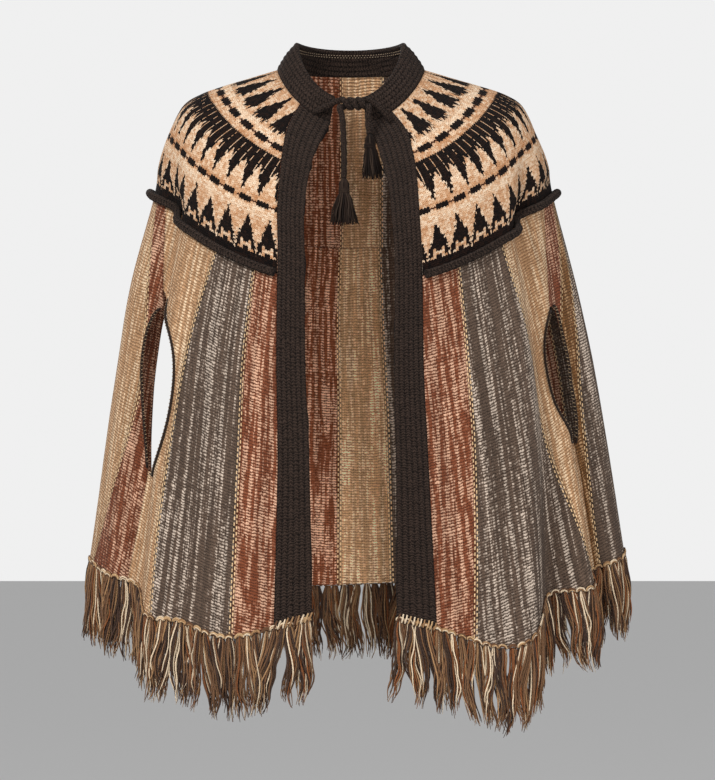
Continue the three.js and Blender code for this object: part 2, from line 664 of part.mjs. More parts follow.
add("tassel_left", tassel(TIES.left), "dark");

export default group;
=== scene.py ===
# %% [markdown]
# # A knitted poncho sweater
#
# This notebook dresses a poncho that is knitted in thick wool: an open-front cape with a round patterned
# yoke, a ribbed collar and front bands, striped panels, arm slits, a fringed hem and a tasselled tie.
# The solids of the garment are already there as a fixed frame. Every piece that follows lies on the
# same curved surface as those solids, so nothing has to be fitted afterwards.

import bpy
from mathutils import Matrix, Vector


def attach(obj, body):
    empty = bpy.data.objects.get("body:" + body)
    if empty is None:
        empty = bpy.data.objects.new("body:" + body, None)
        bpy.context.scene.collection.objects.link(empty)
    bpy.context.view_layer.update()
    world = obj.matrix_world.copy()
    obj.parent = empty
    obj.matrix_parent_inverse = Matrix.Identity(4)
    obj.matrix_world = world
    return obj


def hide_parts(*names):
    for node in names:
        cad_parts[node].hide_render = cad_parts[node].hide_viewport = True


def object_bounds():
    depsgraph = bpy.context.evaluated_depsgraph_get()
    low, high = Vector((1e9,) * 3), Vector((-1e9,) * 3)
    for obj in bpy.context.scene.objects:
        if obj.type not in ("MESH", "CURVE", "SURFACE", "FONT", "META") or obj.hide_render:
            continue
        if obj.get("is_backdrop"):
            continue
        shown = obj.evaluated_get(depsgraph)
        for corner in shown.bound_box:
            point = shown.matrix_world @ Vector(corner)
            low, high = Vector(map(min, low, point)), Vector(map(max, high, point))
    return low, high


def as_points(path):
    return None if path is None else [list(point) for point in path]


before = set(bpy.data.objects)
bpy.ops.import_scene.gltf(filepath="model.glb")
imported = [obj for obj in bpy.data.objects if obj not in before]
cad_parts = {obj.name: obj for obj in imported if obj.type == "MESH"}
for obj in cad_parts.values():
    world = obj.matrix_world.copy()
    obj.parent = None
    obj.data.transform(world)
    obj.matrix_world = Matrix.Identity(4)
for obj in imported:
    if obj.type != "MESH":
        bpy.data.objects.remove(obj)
cad_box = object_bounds()
print("frame:", len(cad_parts), "solids")

# %% Tools
import math

import bmesh
import bpy
import numpy as np
from mathutils import Matrix

MM = 0.001
TURN = 2 * math.pi
# the share of a turn that spreads things evenly over a disc, one after another
GOLDEN_TURN = 0.381966


def unit(vectors):
    return vectors / np.linalg.norm(vectors, axis=-1, keepdims=True)


def length_along(points):
    """How far each point of a path lies along it, for one path or for many."""
    steps = np.linalg.norm(np.diff(points, axis=-2), axis=-1)
    return np.concatenate([np.zeros((*steps.shape[:-1], 1)), np.cumsum(steps, axis=-1)], axis=-1)


def wear(piece, node=None):
    """Puts a piece on the garment, in place of the frame's solid of that name where there is one."""
    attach(piece, "root")
    if node:
        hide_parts(node)
    return piece


print("tools ready")

# %% [markdown]
# ## The camera
#
# The garment is seen straight from the front, from a little over three metres away, as a shop would
# photograph it. A long lens keeps the shape calm. The lens follows from how wide one pixel of the
# picture is on the garment, so the framing is a measurement and not a guess.

# %% Camera
PIXEL = 1.22 * MM
FRAME_WIDTH, FRAME_HEIGHT = 715, 780
CENTRE_COLUMN, EYE_ROW = 355, 370
EYE_HEIGHT = -0.366
DISTANCE = 3.2

camera = bpy.data.objects.new("camera", bpy.data.cameras.new("camera"))
bpy.context.scene.collection.objects.link(camera)
camera.location = (0, -DISTANCE, EYE_HEIGHT)
camera.rotation_euler = (math.radians(90), 0, 0)
camera.data.lens = camera.data.sensor_width * DISTANCE / (FRAME_HEIGHT * PIXEL)
camera.data.shift_x = (FRAME_WIDTH / 2 - CENTRE_COLUMN) / FRAME_HEIGHT
camera.data.shift_y = (EYE_ROW - FRAME_HEIGHT / 2) / FRAME_HEIGHT
bpy.context.scene.camera = camera
print("camera lens:", round(camera.data.lens, 1), "mm")

# %% [markdown]
# ## How a sheet of knitting is made
#
# A sheet starts as a flat grid from one operator. Each corner of the grid is then moved to its place on
# the body, and its UV map keeps where it was in the knitting, in metres across and along. So stitches
# and stripes stay on the cloth however it hangs. Solidify gives the sheet its thickness. Both faces then
# show the same yarn, as in real knitting, unless the inner face is given a finish of its own.


# %% A grid moved into place
def link(name, mesh, materials):
    for material in materials:
        mesh.materials.append(material)
    piece = bpy.data.objects.new(name, mesh)
    bpy.context.scene.collection.objects.link(piece)
    return piece


def grid_mesh(name, columns, rows, place):
    """place gives points in millimetres and UVs for shares across and down, from 0 to 1."""
    bm = bmesh.new()
    bmesh.ops.create_grid(bm, x_segments=columns, y_segments=rows, size=0.5)
    mesh = bpy.data.meshes.new(name)
    bm.to_mesh(mesh)
    bm.free()
    flat = np.zeros(len(mesh.vertices) * 3)
    mesh.vertices.foreach_get("co", flat)
    across, down = flat.reshape(-1, 3)[:, 0] + 0.5, flat.reshape(-1, 3)[:, 1] + 0.5
    points, uvs = place(across, down)
    mesh.vertices.foreach_set("co", (points * MM).ravel())
    corners = np.zeros(len(mesh.loops), int)
    mesh.loops.foreach_get("vertex_index", corners)
    layer = mesh.uv_layers.new(name="knit")
    layer.data.foreach_set("uv", uvs[corners].ravel())
    mesh.polygons.foreach_set("use_smooth", np.ones(len(mesh.polygons), bool))
    mesh.update()
    return mesh


def normals_of(place, across, down):
    near = 1e-3
    sideways = place(across + near, down) - place(across - near, down)
    downward = place(across, down + near) - place(across, down - near)
    return unit(np.cross(sideways, downward))


def thicken(piece, thickness):
    """A second material, where there is one, goes on the inner face and the edges."""
    wall = piece.modifiers.new("wall", "SOLIDIFY")
    wall.thickness = thickness * MM
    wall.offset = -1
    wall.use_even_offset = True
    if len(piece.data.materials) > 1:
        wall.material_offset = 1
        wall.material_offset_rim = 1
    return piece


def close_tube(piece):
    """Merges the seam of a grid that was rolled up, and closes its two ends."""
    bm = bmesh.new()
    bm.from_mesh(piece.data)
    bmesh.ops.remove_doubles(bm, verts=bm.verts, dist=0.02 * MM)
    bmesh.ops.holes_fill(bm, edges=[e for e in bm.edges if e.is_boundary], sides=0)
    bmesh.ops.recalc_face_normals(bm, faces=bm.faces)
    for face in bm.faces:
        face.smooth = len(face.verts) == 4
    bm.to_mesh(piece.data)
    bm.free()
    return piece


print("sheet tools ready")

# %% [markdown]
# ## Reading shader maths as arithmetic
#
# The stitches are drawn by the materials, from arithmetic on the UV map. Written node by node such a
# pattern is hard to read, so a small class wraps a socket and lets sums and comparisons add the Math
# nodes. A comparison gives 1 or 0, `&` and `|` join two of them.


# %% A socket that does sums
class Value:
    def __init__(self, finish, socket):
        self.finish = finish
        self.socket = socket

    def __add__(self, other):
        return self.finish.math("ADD", self, other)

    def __sub__(self, other):
        return self.finish.math("SUBTRACT", self, other)

    def __rsub__(self, other):
        return self.finish.math("SUBTRACT", other, self)

    def __mul__(self, other):
        return self.finish.math("MULTIPLY", self, other)

    def __truediv__(self, other):
        return self.finish.math("DIVIDE", self, other)

    def __pow__(self, other):
        return self.finish.math("POWER", self, other)

    def __gt__(self, other):
        return self.finish.math("GREATER_THAN", self, other)

    def __lt__(self, other):
        return self.finish.math("LESS_THAN", self, other)

    def __and__(self, other):
        return self.finish.math("MINIMUM", self, other)

    def __or__(self, other):
        return self.finish.math("MAXIMUM", self, other)

    def __abs__(self):
        return self.finish.math("ABSOLUTE", self)

    def floor(self):
        return self.finish.math("FLOOR", self)

    def fraction(self):
        return self.finish.math("FRACT", self)

    def wave(self):
        """A smooth wave from 0 to 1, with its crests at whole numbers."""
        return self.finish.math("COSINE", self * TURN) * 0.5 + 0.5

    def between(self, low, high):
        return (self > low) & (self < high)

    def fade(self, low, high):
        """0 up to low, 1 from high on, and a soft step between them."""
        node = self.finish.node(
            "MapRange", {"interpolation_type": "SMOOTHSTEP"}, {0: self, 1: low, 2: high, 3: 0, 4: 1}
        )
        return Value(self.finish, node.outputs[0])


# %% A material and its nodes
class Finish:
    def __init__(self, name):
        self.material = bpy.data.materials.new(name)
        self.material.use_nodes = True
        self.tree = self.material.node_tree
        self.tree.nodes.clear()

    def node(self, kind, settings, inputs):
        node = self.tree.nodes.new("ShaderNode" + kind)
        for key, value in settings.items():
            setattr(node, key, value)
        for key, value in inputs.items():
            if isinstance(value, Value):
                self.tree.links.new(value.socket, node.inputs[key])
            elif isinstance(value, bpy.types.NodeSocket):
                self.tree.links.new(value, node.inputs[key])
            else:
                node.inputs[key].default_value = value
        return node

    def math(self, operation, *values):
        node = self.node("Math", {"operation": operation}, dict(enumerate(values)))
        return Value(self, node.outputs[0])

    def knit_place(self):
        """Where this point lies in the knitting: the two numbers of its UV map."""
        place = self.node("UVMap", {"uv_map": "knit"}, {}).outputs[0]
        parts = self.node("SeparateXYZ", {}, {0: place})
        return Value(self, parts.outputs[0]), Value(self, parts.outputs[1])

    def vector(self, x, y, z=0.0):
        return self.node("CombineXYZ", {}, {0: x, 1: y, 2: z}).outputs[0]

    def noise(self, vector, scale, detail=2.0):
        node = self.node("TexNoise", {}, {"Vector": vector, "Scale": scale, "Detail": detail})
        return Value(self, node.outputs[0])

    def chance(self, x, y):
        """A random number from 0 to 1 for each pair of whole numbers."""
        node = self.node("TexWhiteNoise", {"noise_dimensions": "2D"}, {"Vector": self.vector(x, y)})
        return Value(self, node.outputs[0])

    def mix(self, share, first, second, blend="MIX"):
        settings = {"data_type": "RGBA", "blend_type": blend}
        return self.node("Mix", settings, {0: share, 6: first, 7: second}).outputs[2]

    def grey(self, value):
        """A number as a grey colour, to darken another colour with."""
        return self.node("CombineColor", {}, {0: value, 1: value, 2: value}).outputs[0]

    def ramp(self, value, stops):
        """A number that goes from stop to stop: pairs of a place, from 0 to 1, and a height."""
        node = self.node("ValToRGB", {}, {0: value})
        elements = node.color_ramp.elements
        elements[0].position, elements[1].position = stops[0][0], stops[-1][0]
        for place, _ in stops[1:-1]:
            elements.new(place)
        for element, (_, height) in zip(elements, stops):
            element.color = (height, height, height, 1)
        return Value(self, node.outputs[0])

    def wool(self, colour, height, depth, sheen=0.05):
        """The wool shader: soft, matt and a little downy, with the stitches as bumps."""
        bump = self.node("Bump", {}, {"Height": height, "Distance": depth * MM, "Strength": 1.0})
        inputs = {
            "Base Color": colour,
            "Roughness": 0.95,
            "Normal": bump.outputs[0],
            "Sheen Weight": sheen,
            "Sheen Roughness": 0.6,
            "Specular IOR Level": 0.07,
        }
        shader = self.node("BsdfPrincipled", {}, inputs)
        self.node("OutputMaterial", {}, {"Surface": shader.outputs[0]})
        return self.material


def dye(code):
    """A colour written as in a paint shop, as the light that Blender reckons with."""
    parts = [int(code[i : i + 2], 16) / 255 for i in (1, 3, 5)]
    return (*[p / 12.92 if p < 0.04045 else ((p + 0.055) / 1.055) ** 2.4 for p in parts], 1.0)


print("shader tools ready")

# %% [markdown]
# ## The dark ribbing
#
# Collar, front bands, rolled edge and tie are knitted in dark brown wool. The ribs are real relief in
# the mesh, because they catch the light at the edges, and the stitches of each rib are bumps. The colour
# follows the stitches' height as painted light: nearly black in the gaps as painted shade, and a warm
# brown on the crests and loose fibres as painted highlight, mixed with the fibres' own uneven tone.


# %% The rib's finish
RIB_GAP_SHADE, RIB_FUZZ_LIT = "#070403", "#3e312a"


def rib_knit(name, rib_width, stitch_pitch=3.7):
    finish = Finish(name)
    across, along_it = finish.knit_place()
    column = across / (rib_width * MM)
    leg = abs(column.fraction() - 0.5) * 2
    sway = finish.noise(finish.vector(across / MM / 9, along_it / MM / 9), 1.0)
    course = along_it / (stitch_pitch * MM) - leg * 0.5 + sway * 2.2
    fibre = finish.noise(finish.vector(across / MM, along_it / MM), 1.1, 4.0)
    own = finish.chance(column.floor(), course.floor())
    height = course.wave() * 0.55 + (1 - leg**3) * 0.4 + fibre * 1.2
    # glow is painted light from the stitches' height, shade in the gaps and highlight on the crests, mixed
    # with fibre and stitch tone that differs at random
    glow = (height * 0.5 + fibre * 1.15 + own * 0.08).fade(0.95, 1.5)
    return finish.wool(finish.mix(glow, dye(RIB_GAP_SHADE), dye(RIB_FUZZ_LIT)), height, 1.3, sheen=0.02)


print("rib's colours:", RIB_GAP_SHADE, RIB_FUZZ_LIT)

# %% [markdown]
# ## Yarn by the hundred
#
# Fringe and tassels are hundreds of loose yarns. Modelling each one would be slow, so one function takes
# the paths of all of them and sweeps a small ring along each, in one mesh. Each yarn keeps its own
# colour in an attribute, which the material reads.


# %% Many yarns in one mesh
def yarn_mesh(name, paths, radii, colours, sides=5):
    """paths are (yarns, points, 3) in millimetres, radii (yarns, points), colours (yarns, 4)."""
    yarns, points, _ = paths.shape
    way = unit(np.gradient(paths, axis=1))
    side = np.cross(way[:, 0], np.array([0.31, 0.9, 0.3]))
    sides_of = [unit(side)]
    for k in range(1, points):
        side = sides_of[-1] - way[:, k] * np.sum(sides_of[-1] * way[:, k], axis=-1, keepdims=True)
        sides_of.append(unit(side))
    side = np.stack(sides_of, 1)
    other = np.cross(way, side)
    angle = TURN * np.arange(sides) / sides
    spoke = side[:, :, None] * np.cos(angle)[:, None] + other[:, :, None] * np.sin(angle)[:, None]
    corners = paths[:, :, None] + spoke * radii[:, :, None, None]
    ring = np.arange(sides)
    start = (np.arange(yarns)[:, None, None] * points + np.arange(points - 1)[None, :, None]) * sides
    a, b = start + ring, start + (ring + 1) % sides
    walls = np.stack([a, b, b + sides, a + sides], -1).reshape(-1, 4)
    first = (np.arange(yarns) * points * sides)[:, None] + ring[::-1]
    last = (np.arange(yarns) * points * sides + (points - 1) * sides)[:, None] + ring
    mesh = bpy.data.meshes.new(name)
    mesh.from_pydata((corners * MM).reshape(-1, 3), [], walls.tolist() + first.tolist() + last.tolist())
    u = np.broadcast_to(ring / sides, (yarns, points, sides))
    v = np.broadcast_to(length_along(paths)[:, :, None] * MM, (yarns, points, sides))
    loop_corners = np.zeros(len(mesh.loops), int)
    mesh.loops.foreach_get("vertex_index", loop_corners)
    uvs = np.stack([u, v], -1).reshape(-1, 2)[loop_corners]
    mesh.uv_layers.new(name="knit").data.foreach_set("uv", uvs.ravel())
    dyed = mesh.attributes.new("yarn", "FLOAT_COLOR", "POINT")
    dyed.data.foreach_set("color", np.repeat(colours, points * sides, axis=0).ravel())
    mesh.polygons.foreach_set("use_smooth", np.ones(len(mesh.polygons), bool))
    mesh.update()
    return mesh


def plain_yarns(name, paths, radius, code, sides):
    """Yarns that all have one thickness and one colour."""
    tones = np.array([dye(code)] * len(paths))
    return yarn_mesh(name, paths, np.full(paths.shape[:2], radius), tones, sides)


def yarn_finish(name, ply_length, twist, sheen=0.05):
    """Twisted plies as slanting waves round the yarn, painted darker between the plies as shade, and a downy,
    mottled colour.
    """
    finish = Finish(name)
    around, along_it = finish.knit_place()
    dyed = finish.node("Attribute", {"attribute_name": "yarn"}, {}).outputs[0]
    ply = (around * 2 + along_it / (ply_length * MM)).wave()
    where = finish.node("TexCoord", {}, {}).outputs["Object"]
    mottle = finish.noise(where, 420.0, 3.0)
    lit = ply * twist + mottle * 0.8 + (0.6 - twist / 2)
    colour = finish.mix(1.0, dyed, finish.grey(lit), "MULTIPLY")
    return finish.wool(colour, ply * twist * 2 + mottle * 0.6, 0.5, sheen=sheen)


print("yarn tools ready")

# %% [markdown]
# ## The tie
#
# Two knitted cords come out from under the collar, twist round each other at the neck and hang down,
# each ending in a tassel. A cord is a rolled-up grid round a smooth curve through given points.
# Three plies wind round it, which is what a twisted wool cord looks like.

# %% The cords' paths, in millimetres
KNOT = {"x": -1, "y": -90, "z": -50, "half_length": 14, "turns": 1.5}
CORD_DIAMETER, TWIST_RADIUS, TWIST_STEPS = 7.0, 4.6, 9
CORD_PLIES, PLY_RELIEF, PLY_SLANT = 3, 0.35, 5.5
POINTS_PER_SPAN, CORD_SIDES = 12, 24
TIES = {
    "right": {
        "lead": [(-47.3, -76.3, -58.4), (-40, -84, -56), (-31, -88, -52), (-22, -89, -47.5)],
        "tail": [(16.5, -96, -54), (15.5, -99.5, -63), (15.5, -100, -74), (17, -100, -87)],
        "from_side": -1, "phase": 90, "tassel": 52.0, "spread": 0.2, "lean": 0.08,
    },
    "left": {
        "lead": [(41.3, -81, -68.6), (35, -86.5, -61), (28, -88.5, -54), (20, -89, -48.5)],
        "tail": [
            (-18, -96, -55), (-15, -99.5, -68), (-13.5, -100, -92), (-13, -100, -116), (-13, -100, -139),
        ],
        "from_side": 1, "phase": 270, "tassel": 54.0, "spread": 0.32, "lean": 0.0,
    },
}


def tie_points(tie):
    points = [np.array(p, float) for p in tie["lead"]]
    for k in range(TWIST_STEPS + 1):
        share = k / TWIST_STEPS
        x = KNOT["x"] + tie["from_side"] * KNOT["half_length"] * (1 - 2 * share)
        turned = share if tie["from_side"] < 0 else 1 - share
        angle = math.radians(tie["phase"] + 360 * KNOT["turns"] * turned)
        y = KNOT["y"] + TWIST_RADIUS * math.cos(angle)
        z = KNOT["z"] + TWIST_RADIUS * math.sin(angle)
        points.append(np.array([x, y, z]))
    return np.array(points + [np.array(p, float) for p in tie["tail"]])


def smooth_path(points, per_span):
    """A centripetal curve through the points, the same kind of curve as in the solids."""
    before = points[0] * 2 - points[1]
    after = points[-1] * 2 - points[-2]
    padded = np.vstack([before, points, after])
    curve = []
    for a, b, c, d in zip(padded, padded[1:], padded[2:], padded[3:]):
        t = np.cumsum([0, *[max(np.linalg.norm(q - p), 1e-6) ** 0.5 for p, q in ((a, b), (b, c), (c, d))]])
        for s in np.linspace(t[1], t[2], per_span, endpoint=False):
            ab = ((t[1] - s) * a + s * b) / t[1]
            bc = ((t[2] - s) * b + (s - t[1]) * c) / (t[2] - t[1])
            cd = ((t[3] - s) * c + (s - t[2]) * d) / (t[3] - t[2])
            abc = ((t[2] - s) * ab + s * bc) / t[2]
            bcd = ((t[3] - s) * bc + (s - t[1]) * cd) / (t[3] - t[1])
            curve.append(((t[2] - s) * abc + (s - t[1]) * bcd) / (t[2] - t[1]))
    return np.array(curve + [points[-1]])


# %% The cords
tie_finish = rib_knit("tie_cord", 3.2, 3.4)
tassel_finish = yarn_finish("tassel_yarn", 3.0, 0.12, sheen=0.02)


def tie_cord(side):
    path = smooth_path(tie_points(TIES[side]), POINTS_PER_SPAN)
    long = length_along(path)
    way = unit(np.gradient(path, axis=0))
    spoke = [unit(np.cross(way[0], (0.2, 0.3, 1.0)))]
    for tangent in way[1:]:
        spoke.append(unit(spoke[-1] - tangent * np.dot(spoke[-1], tangent)))
    first = np.array(spoke)
    second = np.cross(way, first)

    def place(across, down):
        k = np.rint(across * (len(path) - 1)).astype(int)
        angle = TURN * down
        ply = np.cos(CORD_PLIES * (angle - long[k] / PLY_SLANT))
        radius = CORD_DIAMETER / 2 + PLY_RELIEF * ply
        out = first[k] * np.cos(angle)[:, None] + second[k] * np.sin(angle)[:, None]
        around = down * TURN * CORD_DIAMETER / 2
        return path[k] + out * radius[:, None], np.stack([around * MM, long[k] * MM], -1)

    mesh = grid_mesh("cord", len(path) - 1, CORD_SIDES, place)
    piece = close_tube(link("tie_cord_" + side, mesh, [tie_finish]))
    return wear(piece, "tie_cord_" + side), path, long[-1]


# %% Sizes of a tassel, in millimetres
STRANDS, STRAND_POINTS = 90, 10
STRAND_RADIUS, STRAND_TIP, WRAP_YARN_RADIUS = 0.75, 0.35, 0.8
TASSEL_DROP = 0.6
# place along a tassel, and how far its outermost strands stand from its middle there
BULB_PLACES, BULB_WIDTHS = (0, 0.06, 0.16, 0.26, 0.31, 0.42, 1), (2.0, 5.2, 6.2, 5.6, 4.6, 5.6, 6.0)
SKIRT_FROM, SKIRT_FLARE = 0.3, 0.9
WRAP_LAPS, WRAP_RADIUS, WRAP_PITCH = 5, 6.0, 1.1
WRAP_FROM, WRAP_RAISED = 0.27, 2.5
TASSEL_WOOL = ("#18110e", "#261c17", "#352a23")


# %% The tassels
def tassel_strands(tie, top, rng):
    t = np.linspace(0, 1, STRAND_POINTS)[:, None]
    bulb = np.interp(t, BULB_PLACES, BULB_WIDTHS)
    flare = np.clip(t - SKIRT_FROM, 0, 1) ** 0.8 * tie["spread"] * tie["tassel"] * SKIRT_FLARE
    for k in range(STRANDS):
        angle = TURN * k * GOLDEN_TURN
        way = np.array([math.cos(angle), math.sin(angle), 0]) * math.sqrt((k + 0.5) / STRANDS)
        length = tie["tassel"] * rng.uniform(0.88, 1.04)
        sway = np.sin(TURN * (rng.uniform(0.8, 1.8) * t + rng.uniform(0, 1))) * rng.uniform(0.4, 1.6) * t
        path = top + way * (bulb + flare) + np.array([tie["lean"], 0, -1]) * length * t
        yield path + np.array([1, 0.6, 0]) * sway


def tassel_wraps(tie, top):
    """The laps of yarn that tie the strands together under the tassel's head."""
    t = np.linspace(0, 1, STRAND_POINTS)[:, None]
    for lap in range(WRAP_LAPS):
        angle = TURN * (t + lap / WRAP_LAPS) * 1.02
        circle = np.concatenate([np.cos(angle), np.sin(angle), 0 * angle], 1) * WRAP_RADIUS
        yield top + circle + (0, 0, -tie["tassel"] * WRAP_FROM - WRAP_PITCH * lap + WRAP_RAISED)


def tassel(side, seed):
    tie = TIES[side]
    rng = np.random.default_rng(seed)
    top = np.array(tie["tail"][-1], float) + (0, 0, -TASSEL_DROP)
    paths = np.array([*tassel_strands(tie, top, rng), *tassel_wraps(tie, top)])
    radii = np.full(paths.shape[:2], STRAND_RADIUS)
    radii[:, -1] = STRAND_TIP
    radii[STRANDS:] = WRAP_YARN_RADIUS
    tones = np.array([dye(rng.choice(TASSEL_WOOL)) for _ in paths])
    piece = link("tassel_" + side, yarn_mesh("tassel", paths, radii, tones), [tassel_finish])
    return wear(piece, "tassel_" + side)


# %% Both cords with their tassels
for k, side in enumerate(TIES):
    cord, route, cord_length = tie_cord(side)
    end = tassel(side, 40 + k)
    route[0] * MM
    cord_length * MM
    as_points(route * MM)
    print(side, "cord:", round(cord_length), "mm")

# %% [markdown]
# ## The surface of the cloth
#
# All the cloth lies on one surface. A place on it has two numbers: `turn`, the way round the body in
# degrees from centre front over the wearer's right side, and `down`, from 0 at the neck over 1 at the
# yoke's edge to 2 at the hem. Each row of the first table is a ring round the body, and a smooth curve
# runs through the rows. A second table adds the folds. Modelling with such a function means that a seam,
# a stitch or a lock of fringe can be put exactly where it belongs.

# %% Rings, in millimetres
# down, half width, front, back, height at the side, front and back, shift to the side
RINGS = np.array([
    (0.0, 88, 80, 78, 2, -72, 2, -5),
    (0.13, 124, 98, 95, -8, -98, -22, -5),
    (0.26, 160, 115, 111, -18, -124, -46, -4),
    (0.36, 186, 126, 121, -27, -144, -64, -3),
    (0.46, 206, 136, 129, -40, -163, -83, -3),
    (0.61, 224, 150, 138, -76, -192, -118, -3),
    (0.8, 237, 158, 145, -112, -228, -163, -2),
    (1.0, 242, 164, 150, -149, -266, -210, -2),
    (1.25, 271, 172, 158, -259, -371, -318, -2),
    (1.5, 292, 178, 164, -370, -476, -426, 1),
    (2.0, 325, 190, 176, -589, -684, -641, 3),
])
COLLAR_TOP = (65, 74, 71, 37, -42, 33, -6)
TOP_DIP, NECK_DIP, EDGE_DIP = 1.2, 1.45, 1.7
SHOULDER_EASE = 0.16
print("rings:", len(RINGS))

# %% Folds
# turn at the yoke and the hem, spread in degrees, start, how far it stands out at the yoke's edge,
# the middle and the hem, how far it leans round the body and drops at the hem, in millimetres
FOLDS = (
    (4, 4, 17, 1, 0, 0, 0, 0, -24),
    (32, 29, 9, 1, 0, 3, 6, 0, 11),
    (58, 47, 6.5, 0.6, 4, 8, 12, 8, 15),
    (66, 55, 8, 0.5, -19, -34, -18, 0, -6),
    (92, 92, 12, 0.8, 0, 1, 1, 0, 5),
    (124, 120, 9, 0.8, -2, -6, -20, 0, 0),
    (140, 137, 8, 1, 0, 7, 13, 0, 5),
    (156, 154, 8, 1, 0, -6, -13, 0, -3),
    (170, 169, 8, 1, 0, 5, 10, 0, 3),
    (187, 187, 9, 1, 0, -5, -12, 0, -3),
    (203, 205, 9, 1, 0, 6, 14, 0, 5),
    (216, 219, 7, 1, 0, -2, -5, 0, 0),
    (234, 238, 9, 0.8, -2, -8, -22, 0, 0),
    (266, 266, 12, 0.8, 1, 0, 0, 0, -5),
    (288, 292, 8, 0.8, -4, -32, -26, 0, -2),
    (297, 303, 6, 0.8, 0, 1, 9, -4, 2),
    (300, 312, 7, 0.5, -26, -24, -30, 0, -8),
    (309, 323, 6, 0.55, 5, 8, 10, -4, 8),
    (326, 329, 9, 1, 0, 3, 5, 0, 22),
    (356, 356, 17, 1, 0, 0, 0, 0, -18),
)
print("folds:", len(FOLDS))


# %% A smooth curve through a table
def along(rows, column, place):
    downs, values = rows[:, 0], rows[:, column]
    i = np.searchsorted(downs[1:-1], place, side="left")
    slopes = np.diff(values) / np.diff(downs)
    last = len(slopes) - 1
    inside = slopes[i]
    before = np.where(i > 0, (slopes[np.maximum(i - 1, 0)] + inside) / 2, inside)
    after = np.where(i < last, (slopes[np.minimum(i + 1, last)] + inside) / 2, inside)
    step = np.diff(downs)[i]
    t = (place - downs[i]) / step
    curve = (2 * t**3 - 3 * t**2 + 1) * values[i] + (t**3 - 2 * t**2 + t) * step * before
    curve += (3 * t**2 - 2 * t**3) * values[i + 1] + (t**3 - t**2) * step * after
    beyond = values[i + 1] + after * (place - downs[i + 1])
    return np.where(t > 1, beyond, curve)


# %% One ring, and the cloth with its folds
def ring_point(ring, turn, dip):
    half, front, back, z_side, z_front, z_back, shift = ring
    s, c = np.sin(np.radians(turn)), np.cos(np.radians(turn))
    reach = np.where(c > 0, front, back)
    front_share = ((np.hypot(c, SHOULDER_EASE) + c) / 2) ** dip
    back_share = ((np.hypot(c, SHOULDER_EASE) - c) / 2) ** dip
    z = z_side + (z_front - z_side) * front_share + (z_back - z_side) * back_share
    return np.stack([shift - half * s, -reach * c, z], -1)


def fold_growth(start, out_yoke, out_middle, out_hem, down):
    above = out_yoke * (np.clip(down - start, 0, None) / max(1 - start, 1e-6)) ** 1.5
    return np.where(down < 1, above, np.interp(down, (1, 1.5, 2), (out_yoke, out_middle, out_hem)))


def cloth(turn, down):
    turn, down = np.broadcast_arrays(np.asarray(turn, float), np.asarray(down, float))
    ring = [along(RINGS, column, down) for column in range(1, 8)]
    dip = NECK_DIP + (EDGE_DIP - NECK_DIP) * np.clip(down, 0, 1)
    point = ring_point(ring, turn, dip)
    s, c = np.sin(np.radians(turn)), np.cos(np.radians(turn))
    half, reach = ring[0], np.where(c > 0, ring[1], ring[2])
    level = np.zeros_like(s)
    outward = unit(np.stack([-s / half, -c / reach, level], -1))
    sideways = unit(np.stack([-c * half, s * reach, level], -1))
    hang = np.maximum(0, down - 1)
    for at_yoke, at_hem, spread, start, out_yoke, out_middle, out_hem, lean, drop in FOLDS:
        away = (turn - at_yoke - (down - 1) * (at_hem - at_yoke) + 540) % 360 - 180
        share = np.exp(-((away / spread) ** 2))
        growth = share * fold_growth(start, out_yoke, out_middle, out_hem, down)
        point = point + outward * growth[..., None] + sideways * (share * lean * hang)[..., None]
        point[..., 2] -= share * drop * hang
    return point


def per_degree(turn, down):
    return np.linalg.norm(cloth(turn - 1, down) - cloth(turn + 1, down), axis=-1) / 2


print("yoke's edge at centre back:", np.round(cloth(180, 1), 1))

# %% [markdown]
# ## The cut of the pieces
#
# The bands' edges are given as distances from the centre line, and the seams between the panels as turns.
# Each seam opens into an arm slit on its way down, where its two edges draw apart in a soft lens shape.

# %% Bands, seams and slits
# down, then the distances of the inner and the outer edge from the centre line
BANDS = {
    "right": np.array([
        (0, 23, 60), (0.13, 35, 74), (0.26, 46, 81), (0.45, 54, 86), (1, 56, 88), (1.5, 54, 90), (2, 52, 96),
    ]),
    "left": np.array([
        (0, 18, 48), (0.13, 29, 65), (0.26, 36, 72), (0.45, 43, 76), (1, 48, 80), (1.5, 46, 83), (2, 45, 91),
    ]),
}
# down and turn of the seam's line
SEAMS = {
    "right_front": np.array([(1, 74), (1.13, 69.7), (1.25, 65.9), (1.45, 63.7), (1.7, 60.6), (2, 60.1)]),
    "right_back": np.array([(1, 123), (1.5, 123), (2, 123)]),
    "left_back": np.array([(1, 228), (1.5, 228), (2, 228)]),
    "left_front": np.array([
        (1, 285), (1.09, 287.4), (1.2, 291.5), (1.28, 294.6), (1.47, 291.7), (1.66, 288.9), (2, 290),
    ]),
}
# before and after each seam: the slit's top and bottom, where it gapes most, by how many degrees the
# cloth is drawn back there, and how slowly the gap opens
SLITS = {
    "right_front": ((1.225, 1.7, 0.33, 16.4, 0.45), (1.27, 1.7, 0.33, 4.8, 0.8)),
    "right_back": ((1.2, 1.8, 0.45, 4.6, 0.4), (1.2, 1.8, 0.45, 7.5, 0.5)),
    "left_back": ((1.2, 1.65, 0.45, 3.6, 0.8), (1.2, 1.65, 0.45, 3.2, 0.8)),
    "left_front": ((1.27, 1.66, 0.2, 7.5, 0.6), (1.27, 1.65, 0.6, 10.4, 0.5)),
}
SEAM_GAP, EDGE_GAP, BAND_GAP = 0.3, 0.15, 0.6
NECK, YOKE_EDGE, HEM = 0, 1, 2


